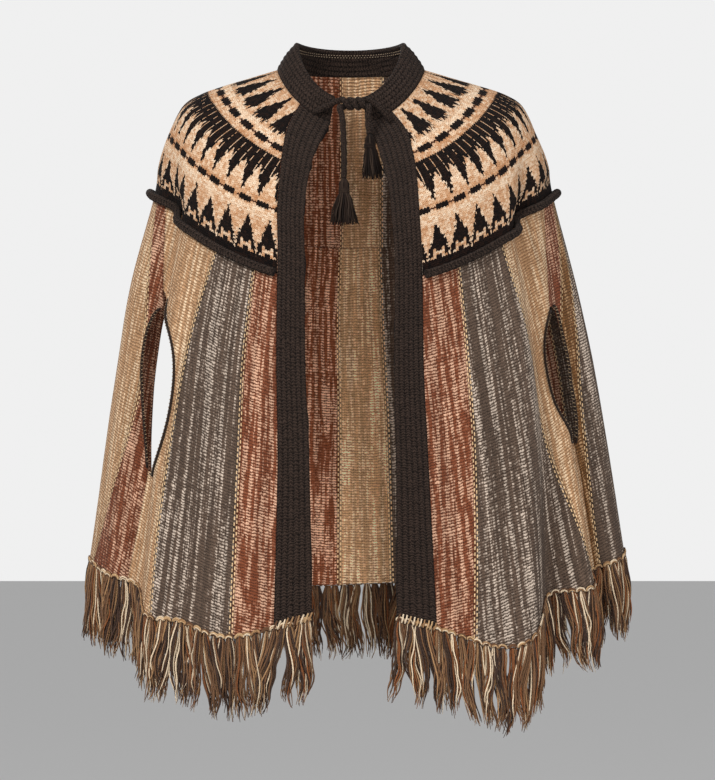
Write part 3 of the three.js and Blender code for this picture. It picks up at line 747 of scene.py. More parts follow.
def band_edge(side, column, inset=0):
    def edge(down):
        reach = along(BANDS[side], column, np.minimum(down, 2))
        turn = np.degrees(np.arcsin(reach / along(RINGS, 1, down)))
        line = turn if side == "right" else 360 - turn
        return line, inset / per_degree(line, down)

    return edge


def band_edges(side):
    """The two edges of a front band, in their order round the body."""
    edges = (band_edge(side, 1), band_edge(side, 2))
    return edges if side == "right" else edges[::-1]


def seam_edge(name, side):
    top, bottom, widest, opening, softness = SLITS[name][0 if side < 0 else 1]

    def edge(down):
        line = along(SEAMS[name], 1, down)
        share = np.clip((down - top) / (bottom - top), 0, 1)
        gape = np.clip(np.sin(math.pi * share ** (math.log(0.5) / math.log(widest))), 0, 1) ** softness
        return line, side * np.maximum(SEAM_GAP / 2 / per_degree(line, down), opening * gape)

    return edge


def turn_between(edges, share, down):
    (first, first_drawn), (last, last_drawn) = edges[0](down), edges[1](down)
    drawn = first_drawn * (1 - share) ** 2 + last_drawn * share**2
    return first + (last - first) * share + drawn


BESIDE_BANDS = band_edge("right", 2, BAND_GAP), band_edge("left", 2, -BAND_GAP)
EDGES = {
    "front_right": (BESIDE_BANDS[0], seam_edge("right_front", -1)),
    "side_right": (seam_edge("right_front", 1), seam_edge("right_back", -1)),
    "back": (seam_edge("right_back", 1), seam_edge("left_back", -1)),
    "side_left": (seam_edge("left_back", 1), seam_edge("left_front", -1)),
    "front_left": (seam_edge("left_front", 1), BESIDE_BANDS[1]),
}
print("panels:", ", ".join(EDGES))

# %% [markdown]
# ## The striped knitting
#
# The panels are knitted sideways from space-dyed marl, so their ridges lie across the body and the
# colours run down it in streaks. A ridge is a wave along the cloth that wobbles from column to column,
# and the gaps between ridges are painted darker, as shade. Each stitch draws its own chance number:
# some are dark, some carry a fleck of cream. The strips are joined by chain seams, which show as two
# rows of small pale beads in a groove that is painted darker, as shade.

# %% Sizes of the striped knitting, in millimetres
COLUMN_WIDTH = 2.5
RIDGE_PITCH = 3.5
BEAD_PITCH = 6.6
DEGREE_WIDTH = 4.9
PANEL_LENGTH = 430

# gap between ridges, painted darker as shade, then ridge and fleck, how much of it is flecked, and how long
# the flecked streaks are
YARNS = {
    "rust": ("#2a130b", "#764028", "#d6ab8e", 0.66, 80),
    "grey": ("#1f1713", "#5b4a3e", "#cfbdac", 0.48, 300),
    "tan": ("#583b23", "#b38a65", "#e2c9a8", 0.6, 120),
    "brown": ("#2c1a0d", "#76502d", "#c09a72", 0.42, 80),
}
BEAD_COLOUR = "#cfae85"


# %% Which yarn lies where
def lay_stripes(finish, x, y, first, stripes):
    """stripes are (turn at the yoke, halfway, at the hem, yarn): each starts where the one before ends."""
    gap_shade, ridge_dye, fleck_dye = [dye(code) for code in YARNS[first][:3]]
    flecked, streak_length = YARNS[first][3:]
    seams = 0.0
    share = y / PANEL_LENGTH
    for at_yoke, at_middle, at_hem, yarn in stripes:
        curve = 2 * (at_yoke + at_hem - 2 * at_middle)
        line = (share * curve + (at_hem - at_yoke - curve)) * share + at_yoke
        off = x - line * DEGREE_WIDTH
        past = off > 0
        gap_shade = finish.mix(past, gap_shade, dye(YARNS[yarn][0]))
        ridge_dye = finish.mix(past, ridge_dye, dye(YARNS[yarn][1]))
        fleck_dye = finish.mix(past, fleck_dye, dye(YARNS[yarn][2]))
        flecked = past * (YARNS[yarn][3] - flecked) + flecked
        streak_length = past * (YARNS[yarn][4] - streak_length) + streak_length
        bead = (1 - abs(abs(off) - 1.5) / 1.3) & (y / BEAD_PITCH + past * 0.5).wave().fade(0.15, 0.6)
        groove = (1 - abs(off) / 3.4).fade(0.0, 0.35)
        seams = (groove * 0.5 + bead.fade(0.15, 0.6) * 0.5) | seams
    return gap_shade, ridge_dye, fleck_dye, flecked, streak_length, seams


# %% The striped finish of one panel
def striped_knit(name, first, stripes, place=Finish.knit_place, lift=1.0):
    """lift makes the whole finish paler, as painted light on inner faces."""
    finish = Finish(name)
    across, along_it = place(finish)
    x, y = across / MM, along_it / MM
    gap_shade, ridge_dye, fleck_dye, flecked, streak_length, seams = lay_stripes(finish, x, y, first, stripes)
    column = x / COLUMN_WIDTH
    zigzag = abs((column * 0.5).fraction() - 0.5) * 2
    wander = finish.noise(finish.vector(x / 40, y / 40), 1.0)
    wobble = finish.noise(finish.vector(x / 4.0, y / 7, 5.0), 1.0)
    ridge = y / RIDGE_PITCH + zigzag * 0.16 + wobble * 0.9 + wander * 2.0
    bar = ridge.wave()
    crest = column.wave()
    own = finish.chance(column.floor(), (ridge + 0.5).floor())
    fibre = finish.noise(finish.vector(x / 0.95, y / 0.75), 1.0, 2.0)
    streak = finish.noise(finish.vector(x / 5, y / streak_length), 1.0, 2.0).fade(0.4, 0.64)
    cloud = finish.noise(finish.vector(x / 30, y / 90, 7.0), 1.0, 2.0)
    lane = finish.noise(finish.vector(x / 9, y / 400, 11.0), 1.0, 2.0).fade(0.35, 0.65)
    loops = bar * 0.5 + crest * 0.1 + fibre * 0.8 + own * 0.14 - 0.2
    # the gaps between the ridges are painted dark, as shade, and the ridges take the yarn's colour
    colour = finish.mix(loops.fade(0.05, 0.65), gap_shade, ridge_dye)
    patchy = streak * 0.75 + cloud * 0.5 + own * 0.42 + flecked * 0.8 - 1.05
    fleck = patchy * (loops.fade(0.3, 0.8) + 0.05)
    colour = finish.mix(fleck.fade(0.0, 0.6) * 0.8, colour, fleck_dye)
    # lift multiplies in painted light; the rest of shade is tone that differs at random from stitch to stitch
    # and lane to lane
    shade = (own * 0.16 + lane * 0.3 + cloud * 0.2 + 0.66) * lift
    height = bar * 0.7 + crest * 0.2 + fibre * 0.6
    in_groove = seams.fade(0.1, 0.45)
    bead = seams.fade(0.6, 0.95)
    colour = finish.mix(bead * 0.9, colour, dye(BEAD_COLOUR))
    # painted shade: the seam's groove darkens the colour; the beads are made paler
    shade = shade * (1 - in_groove * 0.5 + bead * 0.55)
    height = height * (1 - in_groove * 0.8) + bead * 1.2
    colour = finish.mix(1.0, colour, finish.grey(shade), "MULTIPLY")
    return finish.wool(colour, height, 1.4)


# the first yarn, and the stripes after it
STRIPES = {
    "front_right": ("rust", [(28.5, 27.5, 26.5, "grey"), (41.5, 46.5, 46, "tan")]),
    "side_right": ("rust", [(80, 68, 77, "tan"), (104, 105, 107, "rust")]),
    "back": ("tan", [
        (130, 131, 131, "grey"), (147, 146, 146, "tan"), (163, 162, 162, "rust"), (176, 176, 176, "tan"),
        (188, 188, 188, "grey"), (203, 203, 204, "rust"), (217, 217, 218, "tan"),
    ]),
    "side_left": ("rust", [(243, 243, 243, "grey"), (274, 283, 288, "brown"), (276, 290, 296, "rust")]),
    "front_left": ("tan", [(314.4, 308, 300, "grey"), (329.5, 332, 335.4, "rust")]),
}
print("striped finishes:", len(STRIPES))


# %% [markdown]
# ## The panels
#
# Five panels hang from the yoke: two fronts, two sides over the arms and the back. Small uneven waves,
# well under a millimetre, keep the cloth from looking like a machined shell.


# %% Panels
def ripple(turn, down):
    slow = np.sin(turn * 0.9 + 5 * down) * np.sin(turn * 0.37 - 9 * down)
    quick = np.sin(turn * 2.6 + 3 * np.sin(7 * down)) * np.sin(turn * 0.21 + 23 * down)
    return 0.7 * slow + 0.35 * quick


def panel_place(edges, top, bottom, top_gap):
    def place(across, down):
        turn = turn_between(edges, across, top + 0 * down)
        step = np.linalg.norm(cloth(turn, top + 0.01) - cloth(turn, top), axis=-1)
        start = top + 0.01 * top_gap / step
        at = start + (bottom - start) * down
        turn = turn_between(edges, across, at)
        return turn, at

    return place


def panel(name, edges, finishes, columns, rows):
    where = panel_place(edges, YOKE_EDGE, HEM, EDGE_GAP)

    def surface(across, down):
        return cloth(*where(across, down))

    def place(across, down):
        turn, at = where(across, down)
        lift = 0.4 * ripple(turn, at) * np.clip(4 * down, 0, 1)
        points = surface(across, down) + normals_of(surface, across, down) * lift[:, None]
        long = np.linalg.norm(cloth(turn, at) - cloth(turn, YOKE_EDGE + 0 * at), axis=-1)
        return points, np.stack([turn * DEGREE_WIDTH * MM, long * MM], -1)

    piece = thicken(link(name, grid_mesh(name, columns, rows, place), finishes), WALL)
    return wear(piece, name)


WALL = 3.0
# painted light: the open garment lets much light in behind the neck, so the inner face there is painted paler
INSIDE_PAINTED_LIGHT = 1.75
PANEL_COLUMNS = {"front_right": 56, "side_right": 60, "back": 110, "side_left": 60, "front_left": 60}
PANEL_ROWS = 110
panels = {}
for panel_name, (first_yarn, panel_stripes) in STRIPES.items():
    finishes = [striped_knit("knit_" + panel_name, first_yarn, panel_stripes)]
    if panel_name == "back":
        finishes.append(striped_knit("knit_back_inside_painted_light", first_yarn, panel_stripes, lift=INSIDE_PAINTED_LIGHT))
    grid = PANEL_COLUMNS[panel_name], PANEL_ROWS
    panels[panel_name] = panel(panel_name, EDGES[panel_name], finishes, *grid)
print("panels made:", len(panels))

# %% [markdown]
# ## The patterned yoke
#
# The yoke is knitted in the round in two colours. Knitting draws a motif with whole stitches, so the
# material first finds which stitch a point is in, and then asks the chart for that stitch's colour.
# Each band of the chart repeats round the body, and farther out a round has more stitches. The edge of
# a motif comes out stepped and toothed, just as in real stranded knitting.

# %% The chart, by its place down the yoke
YOKE_ROUNDS = 84
# from, to, repeats round the body, stitches in a repeat
CHART_BANDS = {
    "wedges": (-0.01, 0.225, 32, 8),
    "short_dashes": (0.225, 0.3, 39, 6),
    "comb": (0.3, 0.58, 58, 6),
    "long_dashes": (0.58, 0.665, 58, 6),
    "triangles": (0.665, 1.01, 51, 8),
}
LIGHT_WOOL = ("#b27a50", "#d9ad86", "#efd7bb")
DARK_WOOL = ("#0c0706", "#26160f")
LINK_WOOL = "#4a2a1a"
# where whole rows of a motif start and end
ROWS = {
    "short dashes": (0.25, 0.282),
    "short links": (0.262, 0.274),
    "comb": (0.318, 0.4),
    "thin lines": (0.335, 0.46),
    "long dashes": (0.598, 0.63),
    "long links": (0.608, 0.62),
    "upper arms": (0.868, 0.895),
    "crossing": (0.893, 0.914),
    "lower arms": (0.912, 0.937),
    "feet": (0.928, 0.946),
}
SPIKES_FROM, EDGE_FROM = 0.39, 0.952
# rows where a motif starts or ends, by how far from its middle a stitch lies: 0 in the middle, 1 at its side
WEDGE_STARTS = ((0, 0.012), (0.15, 0.035), (0.4, 0.08), (0.62, 0.125), (0.76, 0.165), (0.82, 0.3), (1, 0.3))
WEDGE_ENDS = ((0, 0.208), (0.12, 0.216), (0.3, 0.186), (0.5, 0.214), (0.66, 0.184), (0.8, 0.206), (1, 0.2))
SPIKE_ENDS = (
    (0, 0.572), (0.16, 0.556), (0.28, 0.525), (0.34, 0.5),
    (0.56, 0.482), (0.64, 0.452), (0.85, 0.432), (1, 0.408),
)
PEAK_TOPS = (
    (0, 0.69), (0.12, 0.718), (0.3, 0.752), (0.48, 0.788),
    (0.66, 0.825), (0.84, 0.872), (0.94, 0.92), (1, 0.955),
)
# how pale the light wool is, down the yoke
PALENESS = (
    (0.0, 0.5), (0.1, 0.6), (0.2, 0.65), (0.23, 1.0), (0.245, 0.9), (0.285, 0.55), (0.315, 0.45), (0.4, 0.5),
    (0.5, 0.85), (0.56, 0.55), (0.595, 0.3), (0.645, 0.8), (0.67, 0.95), (0.72, 0.5), (0.8, 0.6), (1.0, 0.65),
)


# %% The motifs
def motifs(finish, column, repeat, row, own):
    """For each band of the chart, 1 where its stitch is dark."""
    rows = {name: row.between(low, high) for name, (low, high) in ROWS.items()}
    away = abs(((column.floor() + 0.5) / repeat).fraction() - 0.5) * 2
    apart = abs((column / repeat).fraction() - 0.5) * 2
    beside = abs((column / repeat + (0.5 - 5 / 6)).fraction() - 0.5) * 2
    teeth = (own - 0.5) * 0.28
    toothed = apart + teeth

    wedge = (row > finish.ramp(toothed, WEDGE_STARTS)) & (row < finish.ramp(toothed, WEDGE_ENDS))
    spikes = (row > SPIKES_FROM) & (row < finish.ramp(beside + teeth, SPIKE_ENDS))
    thin_lines = beside.between(0.46, 0.56) & rows["thin lines"] & (own > 0.25)
    arms = away.between(0.25, 0.5) & (rows["upper arms"] | rows["lower arms"])
    cross = (away.between(0.5, 0.75) & rows["feet"]) | arms | ((away < 0.5) & rows["crossing"])
    links = (rows["short links"] | rows["long links"]) & (own > 0.1)
    return links, {
        "wedges": wedge,
        "short_dashes": (away < 0.6) & rows["short dashes"],
        "comb": (rows["comb"] | spikes) & (1 - thin_lines),
        "long_dashes": (away < 0.6) & rows["long dashes"],
        "triangles": (row > finish.ramp(toothed, PEAK_TOPS)) & (1 - cross),
    }


# %% The yoke's finish
def yoke_knit():
    finish = Finish("knit_yoke")
    turn, down = finish.knit_place()
    in_band = {name: down.between(low, high) for name, (low, high, _, _) in CHART_BANDS.items()}
    count, repeat = 0.0, 0.0
    for name, (_, _, repeats, stitches) in CHART_BANDS.items():
        count = in_band[name] * float(repeats * stitches) + count
        repeat = in_band[name] * float(stitches) + repeat
    column = turn * count
    leg = abs(column.fraction() - 0.5) * 2
    wander = finish.noise(finish.vector(turn * 60, down * 14), 1.0)
    course = down * YOKE_ROUNDS - leg * 0.7 + wander * 0.8
    row = (course.floor() + 0.5) / YOKE_ROUNDS
    own = finish.chance(column.floor(), course.floor())
    links, motif_of = motifs(finish, column, repeat, row, own)
    dark = row > EDGE_FROM
    for name, motif in motif_of.items():
        dark = dark | (motif & in_band[name])

    heather = finish.noise(finish.vector(turn * 90, row * 40), 1.0, 2.0)
    loose = finish.noise(finish.vector(turn * 420, down * 110), 1.0, 3.0)
    paleness = finish.ramp(row, PALENESS)
    pale = (heather * 0.7 + paleness * 0.5 + own * 0.35).fade(0.35, 1.1)
    light = finish.mix(pale, dye(LIGHT_WOOL[0]), dye(LIGHT_WOOL[1]))
    light = finish.mix((own * 0.45 + loose * 0.5 + paleness * 0.45).fade(0.6, 1.2), light, dye(LIGHT_WOOL[2]))
    night = finish.mix((loose + own * 0.4).fade(0.5, 1.1), dye(DARK_WOOL[0]), dye(DARK_WOOL[1]))
    colour = finish.mix(links, light, dye(LINK_WOOL))
    colour = finish.mix(dark, colour, night)
    height = course.wave() * 0.7 + (1 - abs(leg - 0.5) * 2) * 0.6 + loose * 0.5
    # painted shade: the colour is darkened where the stitches lie low, between them
    colour = finish.mix(1.0, colour, finish.grey(height * 0.55 + 0.4), "MULTIPLY")
    return finish.wool(colour, height, 0.9, sheen=0.02)


# %% [markdown]
# The yoke's inner face doesn't show the pattern. It is lined with the striped knitting of the back, whose
# stripes run straight up to the collar. So the same finish is used with another place to read from: how
# far a point lies to the side, and how far down it hangs.

# %% The yoke's lining
LINING_WIDTH = 4.22
# the lining is painted paler as well, as painted light behind the neck
LINING_PAINTED_LIGHT = 0.9 * INSIDE_PAINTED_LIGHT
LINING_STRIPES = [
    (147, 147, 147, "rust"), (176, 176, 176, "tan"), (188, 188, 188, "grey"), (203, 203, 203, "rust"),
]


def behind_the_neck(finish):
    parts = finish.node("SeparateXYZ", {}, {0: finish.node("TexCoord", {}, {}).outputs["Object"]})
    sideways, high = Value(finish, parts.outputs[0]), Value(finish, parts.outputs[2])
    return sideways * (DEGREE_WIDTH / LINING_WIDTH) + 180 * DEGREE_WIDTH * MM, high * -1


lining = striped_knit("knit_lining", "tan", LINING_STRIPES, behind_the_neck, LINING_PAINTED_LIGHT)
print("lining stripes:", len(LINING_STRIPES) + 1)


# %% The yoke
YOKE_COLUMNS, YOKE_ROWS = 260, 80
YOKE_STOP = YOKE_EDGE - 0.0004


def yoke_place(across, down):
    at = down * YOKE_STOP
    turn = turn_between(BESIDE_BANDS, across, at)
    sideways = cloth(turn + 0.3, at) - cloth(turn - 0.3, at)
    downward = cloth(turn, at + 0.004) - cloth(turn, at - 0.004)
    lift = 0.35 * ripple(turn, at + 1)
    points = cloth(turn, at) + unit(np.cross(sideways, downward)) * lift[:, None]
    return points, np.stack([turn / 360, at], -1)


yoke_mesh = grid_mesh("yoke", YOKE_COLUMNS, YOKE_ROWS, yoke_place)
yoke = wear(thicken(link("yoke", yoke_mesh, [yoke_knit(), lining]), WALL), "yoke")
print("yoke faces:", len(yoke.data.polygons))

# %% [markdown]
# ## The front bands
#
# Two ribbed bands edge the open front. Each is a long sheet with a little more body than the panels, and
# its ribs run its whole length. They are made as the panels are, with the ribs as real relief, and a
# small bevel takes the hardness off their edges.

# %% The front bands
RIB_COUNT, RIB_HEIGHT, RIB_WIDTH = 6, 0.7, 6.0
BAND_WALL, BAND_PROUD, BAND_SOFTNESS = 5.0, 0.5, 1.2
BAND_COLUMNS, BAND_ROWS = 60, 200
COLLAR_OVERHANG, COLLAR_LIFT = 1.5, 1.2
COLLAR_GAP = COLLAR_OVERHANG + COLLAR_LIFT + SEAM_GAP
band_rib = rib_knit("rib_bands", RIB_WIDTH)


def rib_relief(share):
    return RIB_HEIGHT * np.sin(math.pi * RIB_COUNT * np.clip(share, 0, 1)) ** 2


def band(side):
    where = panel_place(band_edges(side), NECK, HEM, COLLAR_GAP)
    samples = np.linspace(NECK, HEM, 401)

    def surface(across, down):
        return cloth(*where(across, down))

    def place(across, down):
        turn, at = where(across, down)
        lift = BAND_PROUD + rib_relief(across) + 0.3 * ripple(turn * 3, at)
        points = surface(across, down) + normals_of(surface, across, down) * lift[:, None]
        long = np.interp(at, samples, length_along(cloth(turn[0], samples)))
        return points, np.stack([across * RIB_COUNT * RIB_WIDTH * MM, long * MM], -1)

    mesh = grid_mesh("band_" + side, BAND_COLUMNS, BAND_ROWS, place)
    piece = thicken(link("front_band_" + side, mesh, [band_rib]), BAND_WALL)
    soft_edge = piece.modifiers.new("soft edge", "BEVEL")
    soft_edge.width = BAND_SOFTNESS * MM
    soft_edge.segments = 3
    soft_edge.limit_method = "ANGLE"
    soft_edge.angle_limit = math.radians(60)
    return wear(piece, "front_band_" + side)


bands = {side: band(side) for side in ("right", "left")}
print("bands:", len(bands))

# %% [markdown]
# ## The collar
#
# The collar is one rounded wall swept round the neck. Its section runs from the seam up the outside,
# over a soft top and down the inside, so a closed grid does it: the grid goes round the neck one way and
# round the section the other way, and the section's first and last edges are merged.

# %% The collar
COLLAR_FROM, COLLAR_TO = 16.5, 347.0
COLLAR_WALL, COLLAR_BULGE, COLLAR_UNDERSIDE = 6.0, 2.0, 1.04
# how far round the section its outside, its top and its inside end
OUTSIDE_ENDS, TOP_ENDS, INSIDE_ENDS = 0.42, 0.52, 0.92
NECK_RADIUS = 78
collar_rib = rib_knit("rib_collar", 5.5)


def collar_turn(across):
    return COLLAR_FROM + (COLLAR_TO - COLLAR_FROM) * across


def collar_frame(turn):
    base = cloth(turn, NECK)
    downhill = unit(cloth(turn, 0.02) - base)
    sideways = unit(cloth(turn + 1, NECK) - cloth(turn - 1, NECK))
    up = unit(np.cross(sideways, downhill))
    low = base + up * COLLAR_LIFT + downhill * COLLAR_OVERHANG
    top = ring_point(COLLAR_TOP, turn, TOP_DIP)
    rise = unit(top - low)
    outward = unit(np.cross(rise, sideways))
    return low, top, rise, outward


def collar_place(across, down):
    """down goes round the section: up the outside, over the top, down the inside and back below."""
    turn = collar_turn(across)
    low, top, rise, outward = collar_frame(turn)
    tall = np.linalg.norm(top - low, axis=-1)
    half = COLLAR_WALL / 2
    up_outside = np.clip(down / OUTSIDE_ENDS, 0, 1)
    over = math.pi * np.clip((down - OUTSIDE_ENDS) / (TOP_ENDS - OUTSIDE_ENDS), 0, 1)
    down_inside = np.clip((down - TOP_ENDS) / (INSIDE_ENDS - TOP_ENDS), 0, 1)
    under = math.pi * np.clip((down - INSIDE_ENDS) / (1 - INSIDE_ENDS), 0, 1)
    high = (up_outside - down_inside) * (tall - half)
    lift = half * np.sin(over) - np.where(down > INSIDE_ENDS, COLLAR_UNDERSIDE * np.sin(under), 0)
    facing = np.cos(np.where(down < INSIDE_ENDS, over, math.pi - under))
    bulge = COLLAR_BULGE * np.sin(math.pi * np.clip(high / tall, 0, 1))
    out = bulge + half * facing - half + rib_relief(high / tall) * facing
    out = out + 0.3 * ripple(turn * 2, down * 3)
    points = low + rise * (high + lift)[:, None] + outward * out[:, None]
    around = turn / 360 * TURN * NECK_RADIUS
    return points, np.stack([down * 2 * tall * MM, around * MM], -1)


collar_mesh = grid_mesh("collar", columns=220, rows=96, place=collar_place)
collar = wear(close_tube(link("collar", collar_mesh, [collar_rib])), "collar")
print("collar faces:", len(collar.data.polygons))

# %% [markdown]
# Inside the back of the collar, just under its top, a row of small pale running stitches shows. Each is a
# short thread that lies a little proud of the ribbing.

# %% The running stitches
RUNNING_FROM, RUNNING_TO, RUNNING_PITCH = 0.24, 0.76, 0.0095
RUNNING_LENGTH, RUNNING_SHIFT = 0.0035, 0.004
# where the two rows lie round the section, and how far each thread stands out at its points
RUNNING_ROWS = (0.565, 0.60)
THREAD_LIFTS = (-0.2, 0.45, 0.45, -0.2)
THREAD_RADIUS, THREAD_COLOUR = 0.4, "#a8937b"


def running_stitches():
    threads = []
    for lane, section in enumerate(RUNNING_ROWS):
        for start in np.arange(RUNNING_FROM + RUNNING_SHIFT * lane, RUNNING_TO, RUNNING_PITCH):
            across = start + np.linspace(0, RUNNING_LENGTH, len(THREAD_LIFTS))
            points, _ = collar_place(across, section + 0 * across)
            outward = collar_frame(collar_turn(across))[3]
            threads.append(points - outward * np.array(THREAD_LIFTS)[:, None])
    return np.array(threads)


threads = running_stitches()
running_mesh = plain_yarns("running stitches", threads, THREAD_RADIUS, THREAD_COLOUR, sides=4)
running = link("collar_stitches", running_mesh, [yarn_finish("running_yarn", 2.0, 0.1)])
wear(running)
print("running stitches:", len(threads))

# %% [markdown]
# ## The rolled edge
#
# The yoke ends in a welt that rolls up on itself. It is a soft tube along the seam, a little uneven,
# made from the same kind of grid rolled up round its path.


# %% The rolled edge
ROLL_RADIUS, ROLL_LIFT, ROLL_LENGTH = 5.0, 0.7, 1300
ROLL_INSET = 0.0015
roll_rib = rib_knit("rib_roll", 5.0)


def rolled_place(across, down):
    share = ROLL_INSET + (1 - 2 * ROLL_INSET) * across
    turn = turn_between(BESIDE_BANDS, share, YOKE_EDGE + 0 * share)
    way = unit(cloth(turn + 0.5, YOKE_EDGE) - cloth(turn - 0.5, YOKE_EDGE))
    fall = cloth(turn, YOKE_EDGE + 0.01) - cloth(turn, YOKE_EDGE - 0.01)
    outward = unit(np.cross(way, fall))
    upward = np.cross(way, outward)
    centre = cloth(turn, YOKE_EDGE) + outward * (ROLL_RADIUS + ROLL_LIFT)
    radius = ROLL_RADIUS * (1 + 0.05 * np.sin(turn * 2.3) + 0.04 * np.sin(turn * 5.1))
    angle = -TURN * down
    spoke = outward * np.cos(angle)[:, None] + upward * np.sin(angle)[:, None]
    arc = turn / 360 * ROLL_LENGTH
    return centre + spoke * radius[:, None], np.stack([down * TURN * ROLL_RADIUS * MM, arc * MM], -1)


roll_mesh = grid_mesh("roll", columns=420, rows=16, place=rolled_place)
roll = close_tube(link("yoke_rolled_edge", roll_mesh, [roll_rib]))
wear(roll, "yoke_rolled_edge")
print("rolled edge faces:", len(roll.data.polygons))

# %% [markdown]
# ## The bound slits
#
# The edges of the arm slits are bound with a dark knitted cord, which is sewn on with pale whipstitches.
# The binding is a thick yarn along the edge, and each whipstitch is a short thin yarn that wraps from the
# outer face of the panel over the binding to the inner one.

# %% The bindings, in millimetres
BINDING_RADIUS, BINDING_COLOUR = 1.5, "#261c17"
STITCH_PITCH, STITCH_RADIUS, STITCH_COLOUR = 4.6, 0.42, "#a88f70"
# places of a whipstitch's points towards the slit, outwards and along the edge
WHIPSTITCH = (
    (-3.2, 1.6, -1.0), (-1.6, 1.9, -0.5), (0.5, 1.9, 0.0),
    (1.9, 0.8, 0.5), (1.8, -1.0, 0.9), (0.4, -2.0, 1.3),
)
SLIT_POINTS = 70
# the binding starts where an edge is drawn back by more than this
SLIT_OPEN = 1.2
PANEL_SLITS = {
    "front_right": (("right_front", -1),),
    "side_right": (("right_front", 1), ("right_back", -1)),
    "back": (("right_back", 1), ("left_back", -1)),
    "side_left": (("left_back", 1), ("left_front", -1)),
    "front_left": (("left_front", 1),),
}


def edge_frame(name, side, down):
    line, drawn = seam_edge(name, side)(down)
    turn = line + drawn
    edge = cloth(turn, down)
    into_slit = unit(cloth(turn - side * 0.5, down) - edge)
    along_it = unit(np.gradient(edge, axis=0))
    outward = unit(np.cross(into_slit, along_it) * side)
    into_slit = unit(np.cross(along_it, outward) * side)
    return edge - outward * WALL / 2, into_slit, outward, along_it


def binding_paths(panel_name):
    """The middle line of the binding in each slit of a panel, and the paths of all the whipstitches."""
    tubes, wraps = [], []
    for name, side in PANEL_SLITS[panel_name]:
        whole = np.linspace(YOKE_EDGE, HEM, 801)
        line, drawn = seam_edge(name, side)(whole)
        is_open = whole[np.abs(drawn) * per_degree(line, whole) > SLIT_OPEN]
        frame_parts = edge_frame(name, side, np.linspace(is_open[0], is_open[-1], SLIT_POINTS))
        tubes.append(frame_parts[0])
        long = length_along(frame_parts[0])
        at = np.arange(STITCH_PITCH, long[-1] - STITCH_PITCH, STITCH_PITCH)
        middle, into_slit, outward, along_it = [
            np.stack([np.interp(at, long, part[:, k]) for k in range(3)], -1) for part in frame_parts
        ]
        stitch = [
            middle + into_slit * towards + outward * out + along_it * slant
            for towards, out, slant in WHIPSTITCH
        ]
        wraps.append(np.stack(stitch, 1))
    return np.array(tubes), np.concatenate(wraps)


def binding(panel_name, finish):
    tubes, wraps = binding_paths(panel_name)
    mesh = plain_yarns("binding", tubes, BINDING_RADIUS, BINDING_COLOUR, sides=8)
    bm = bmesh.new()
    bm.from_mesh(mesh)
    bm.from_mesh(plain_yarns("whipstitches", wraps, STITCH_RADIUS, STITCH_COLOUR, sides=4))
    bm.to_mesh(mesh)
    bm.free()
    return wear(link("binding_" + panel_name, mesh, [finish]))


binding_finish = yarn_finish("binding_yarn", 3.0, 0.15)
bindings = {name: binding(name, binding_finish) for name in PANEL_SLITS}
print("bindings:", len(bindings))

# %% [markdown]
# ## The fringe
#
# Each lock is a handful of yarns that is looped through the hem and hangs down. Its yarns follow one wavy
# middle line and wind loosely round it, so the lock reads as one soft bunch that opens towards its end.
# Pale yarns lie between brown ones, and each lock's loop shows as a small arc on the hem. The wool ends
# of the two front bands are sewn over with thick slanting stitches. All of it is worked out with a
# seeded generator, so it comes out the same each time.

# %% Sizes of the fringe, in millimetres
FRINGE_GAP = 0.9
FRINGE_LENGTH = 92.0
FRINGE_PITCH = 10.5
FRINGE_FLARE = 0.6
YARNS_PER_LOCK = 20
YARN_POINTS = 18
# place along a lock and how wide the lock is there
LOCK_PLACES, LOCK_WIDTHS = (0, 0.1, 0.35, 0.7, 1), (2.4, 4.8, 6.4, 5.8, 4.0)
TAPER_PLACES, TAPER = (0, 0.15, 0.75, 1), (0.8, 1, 0.9, 0.25)
# how far a lock's middle line swings, how many waves it has, and how much its yarns wind round it
LOCK_SWAY, LOCK_WAVES, LOCK_TWIST = (2.5, 6.5), (0.6, 1.3), (-3.5, 3.5)
# how long a yarn is, by its share of the fringe's length, and its own waves and their size
YARN_SHARE, YARN_WAVES, YARN_SWAY = (0.78, 1.06), (1.3, 3.4), (0.4, 2.3)
LOOP_YARNS, LOOP_REACH, LOOP_PROUD, TRIM_RADIUS = 3, 3.9, 1.7, 1.15
BAND_STITCH_PITCH, BAND_STITCH_PROUD = 4.4, 3.1
# colour, share of the yarns, radius
FRINGE_YARNS = (
    ("#6a4c35", 0.32, 1.15),
    ("#3f2e25", 0.26, 1.2),
    ("#8f6d4c", 0.18, 1.05),
    ("#cdb89c", 0.14, 0.95),
    ("#744628", 0.10, 1.1),
)
LOOP_COLOURS = ("#cdb89c", "#8f6d4c", "#5a3f2c", "#b0906a")


# %% Where the locks start
def hem_line(edges, pitch, rng):
    """Places along a hem, a pitch apart, with the directions along it, outwards and down the cloth."""
    samples = np.linspace(0, 1, 401)
    turns = turn_between(edges, samples, HEM + 0 * samples)
    line = cloth(turns, HEM)
    long = length_along(line)
    count = int(round(long[-1] / pitch))
    at = (np.arange(count) + 0.5 + 0.18 * rng.uniform(-1, 1, count)) / count * long[-1]
    turn = np.interp(at, long, turns)
    flow = unit(cloth(turn, HEM) - cloth(turn, HEM - 0.01))
    way = unit(cloth(turn + 0.5, HEM) - cloth(turn - 0.5, HEM))
    return cloth(turn, HEM), way, unit(np.cross(way, flow)), flow


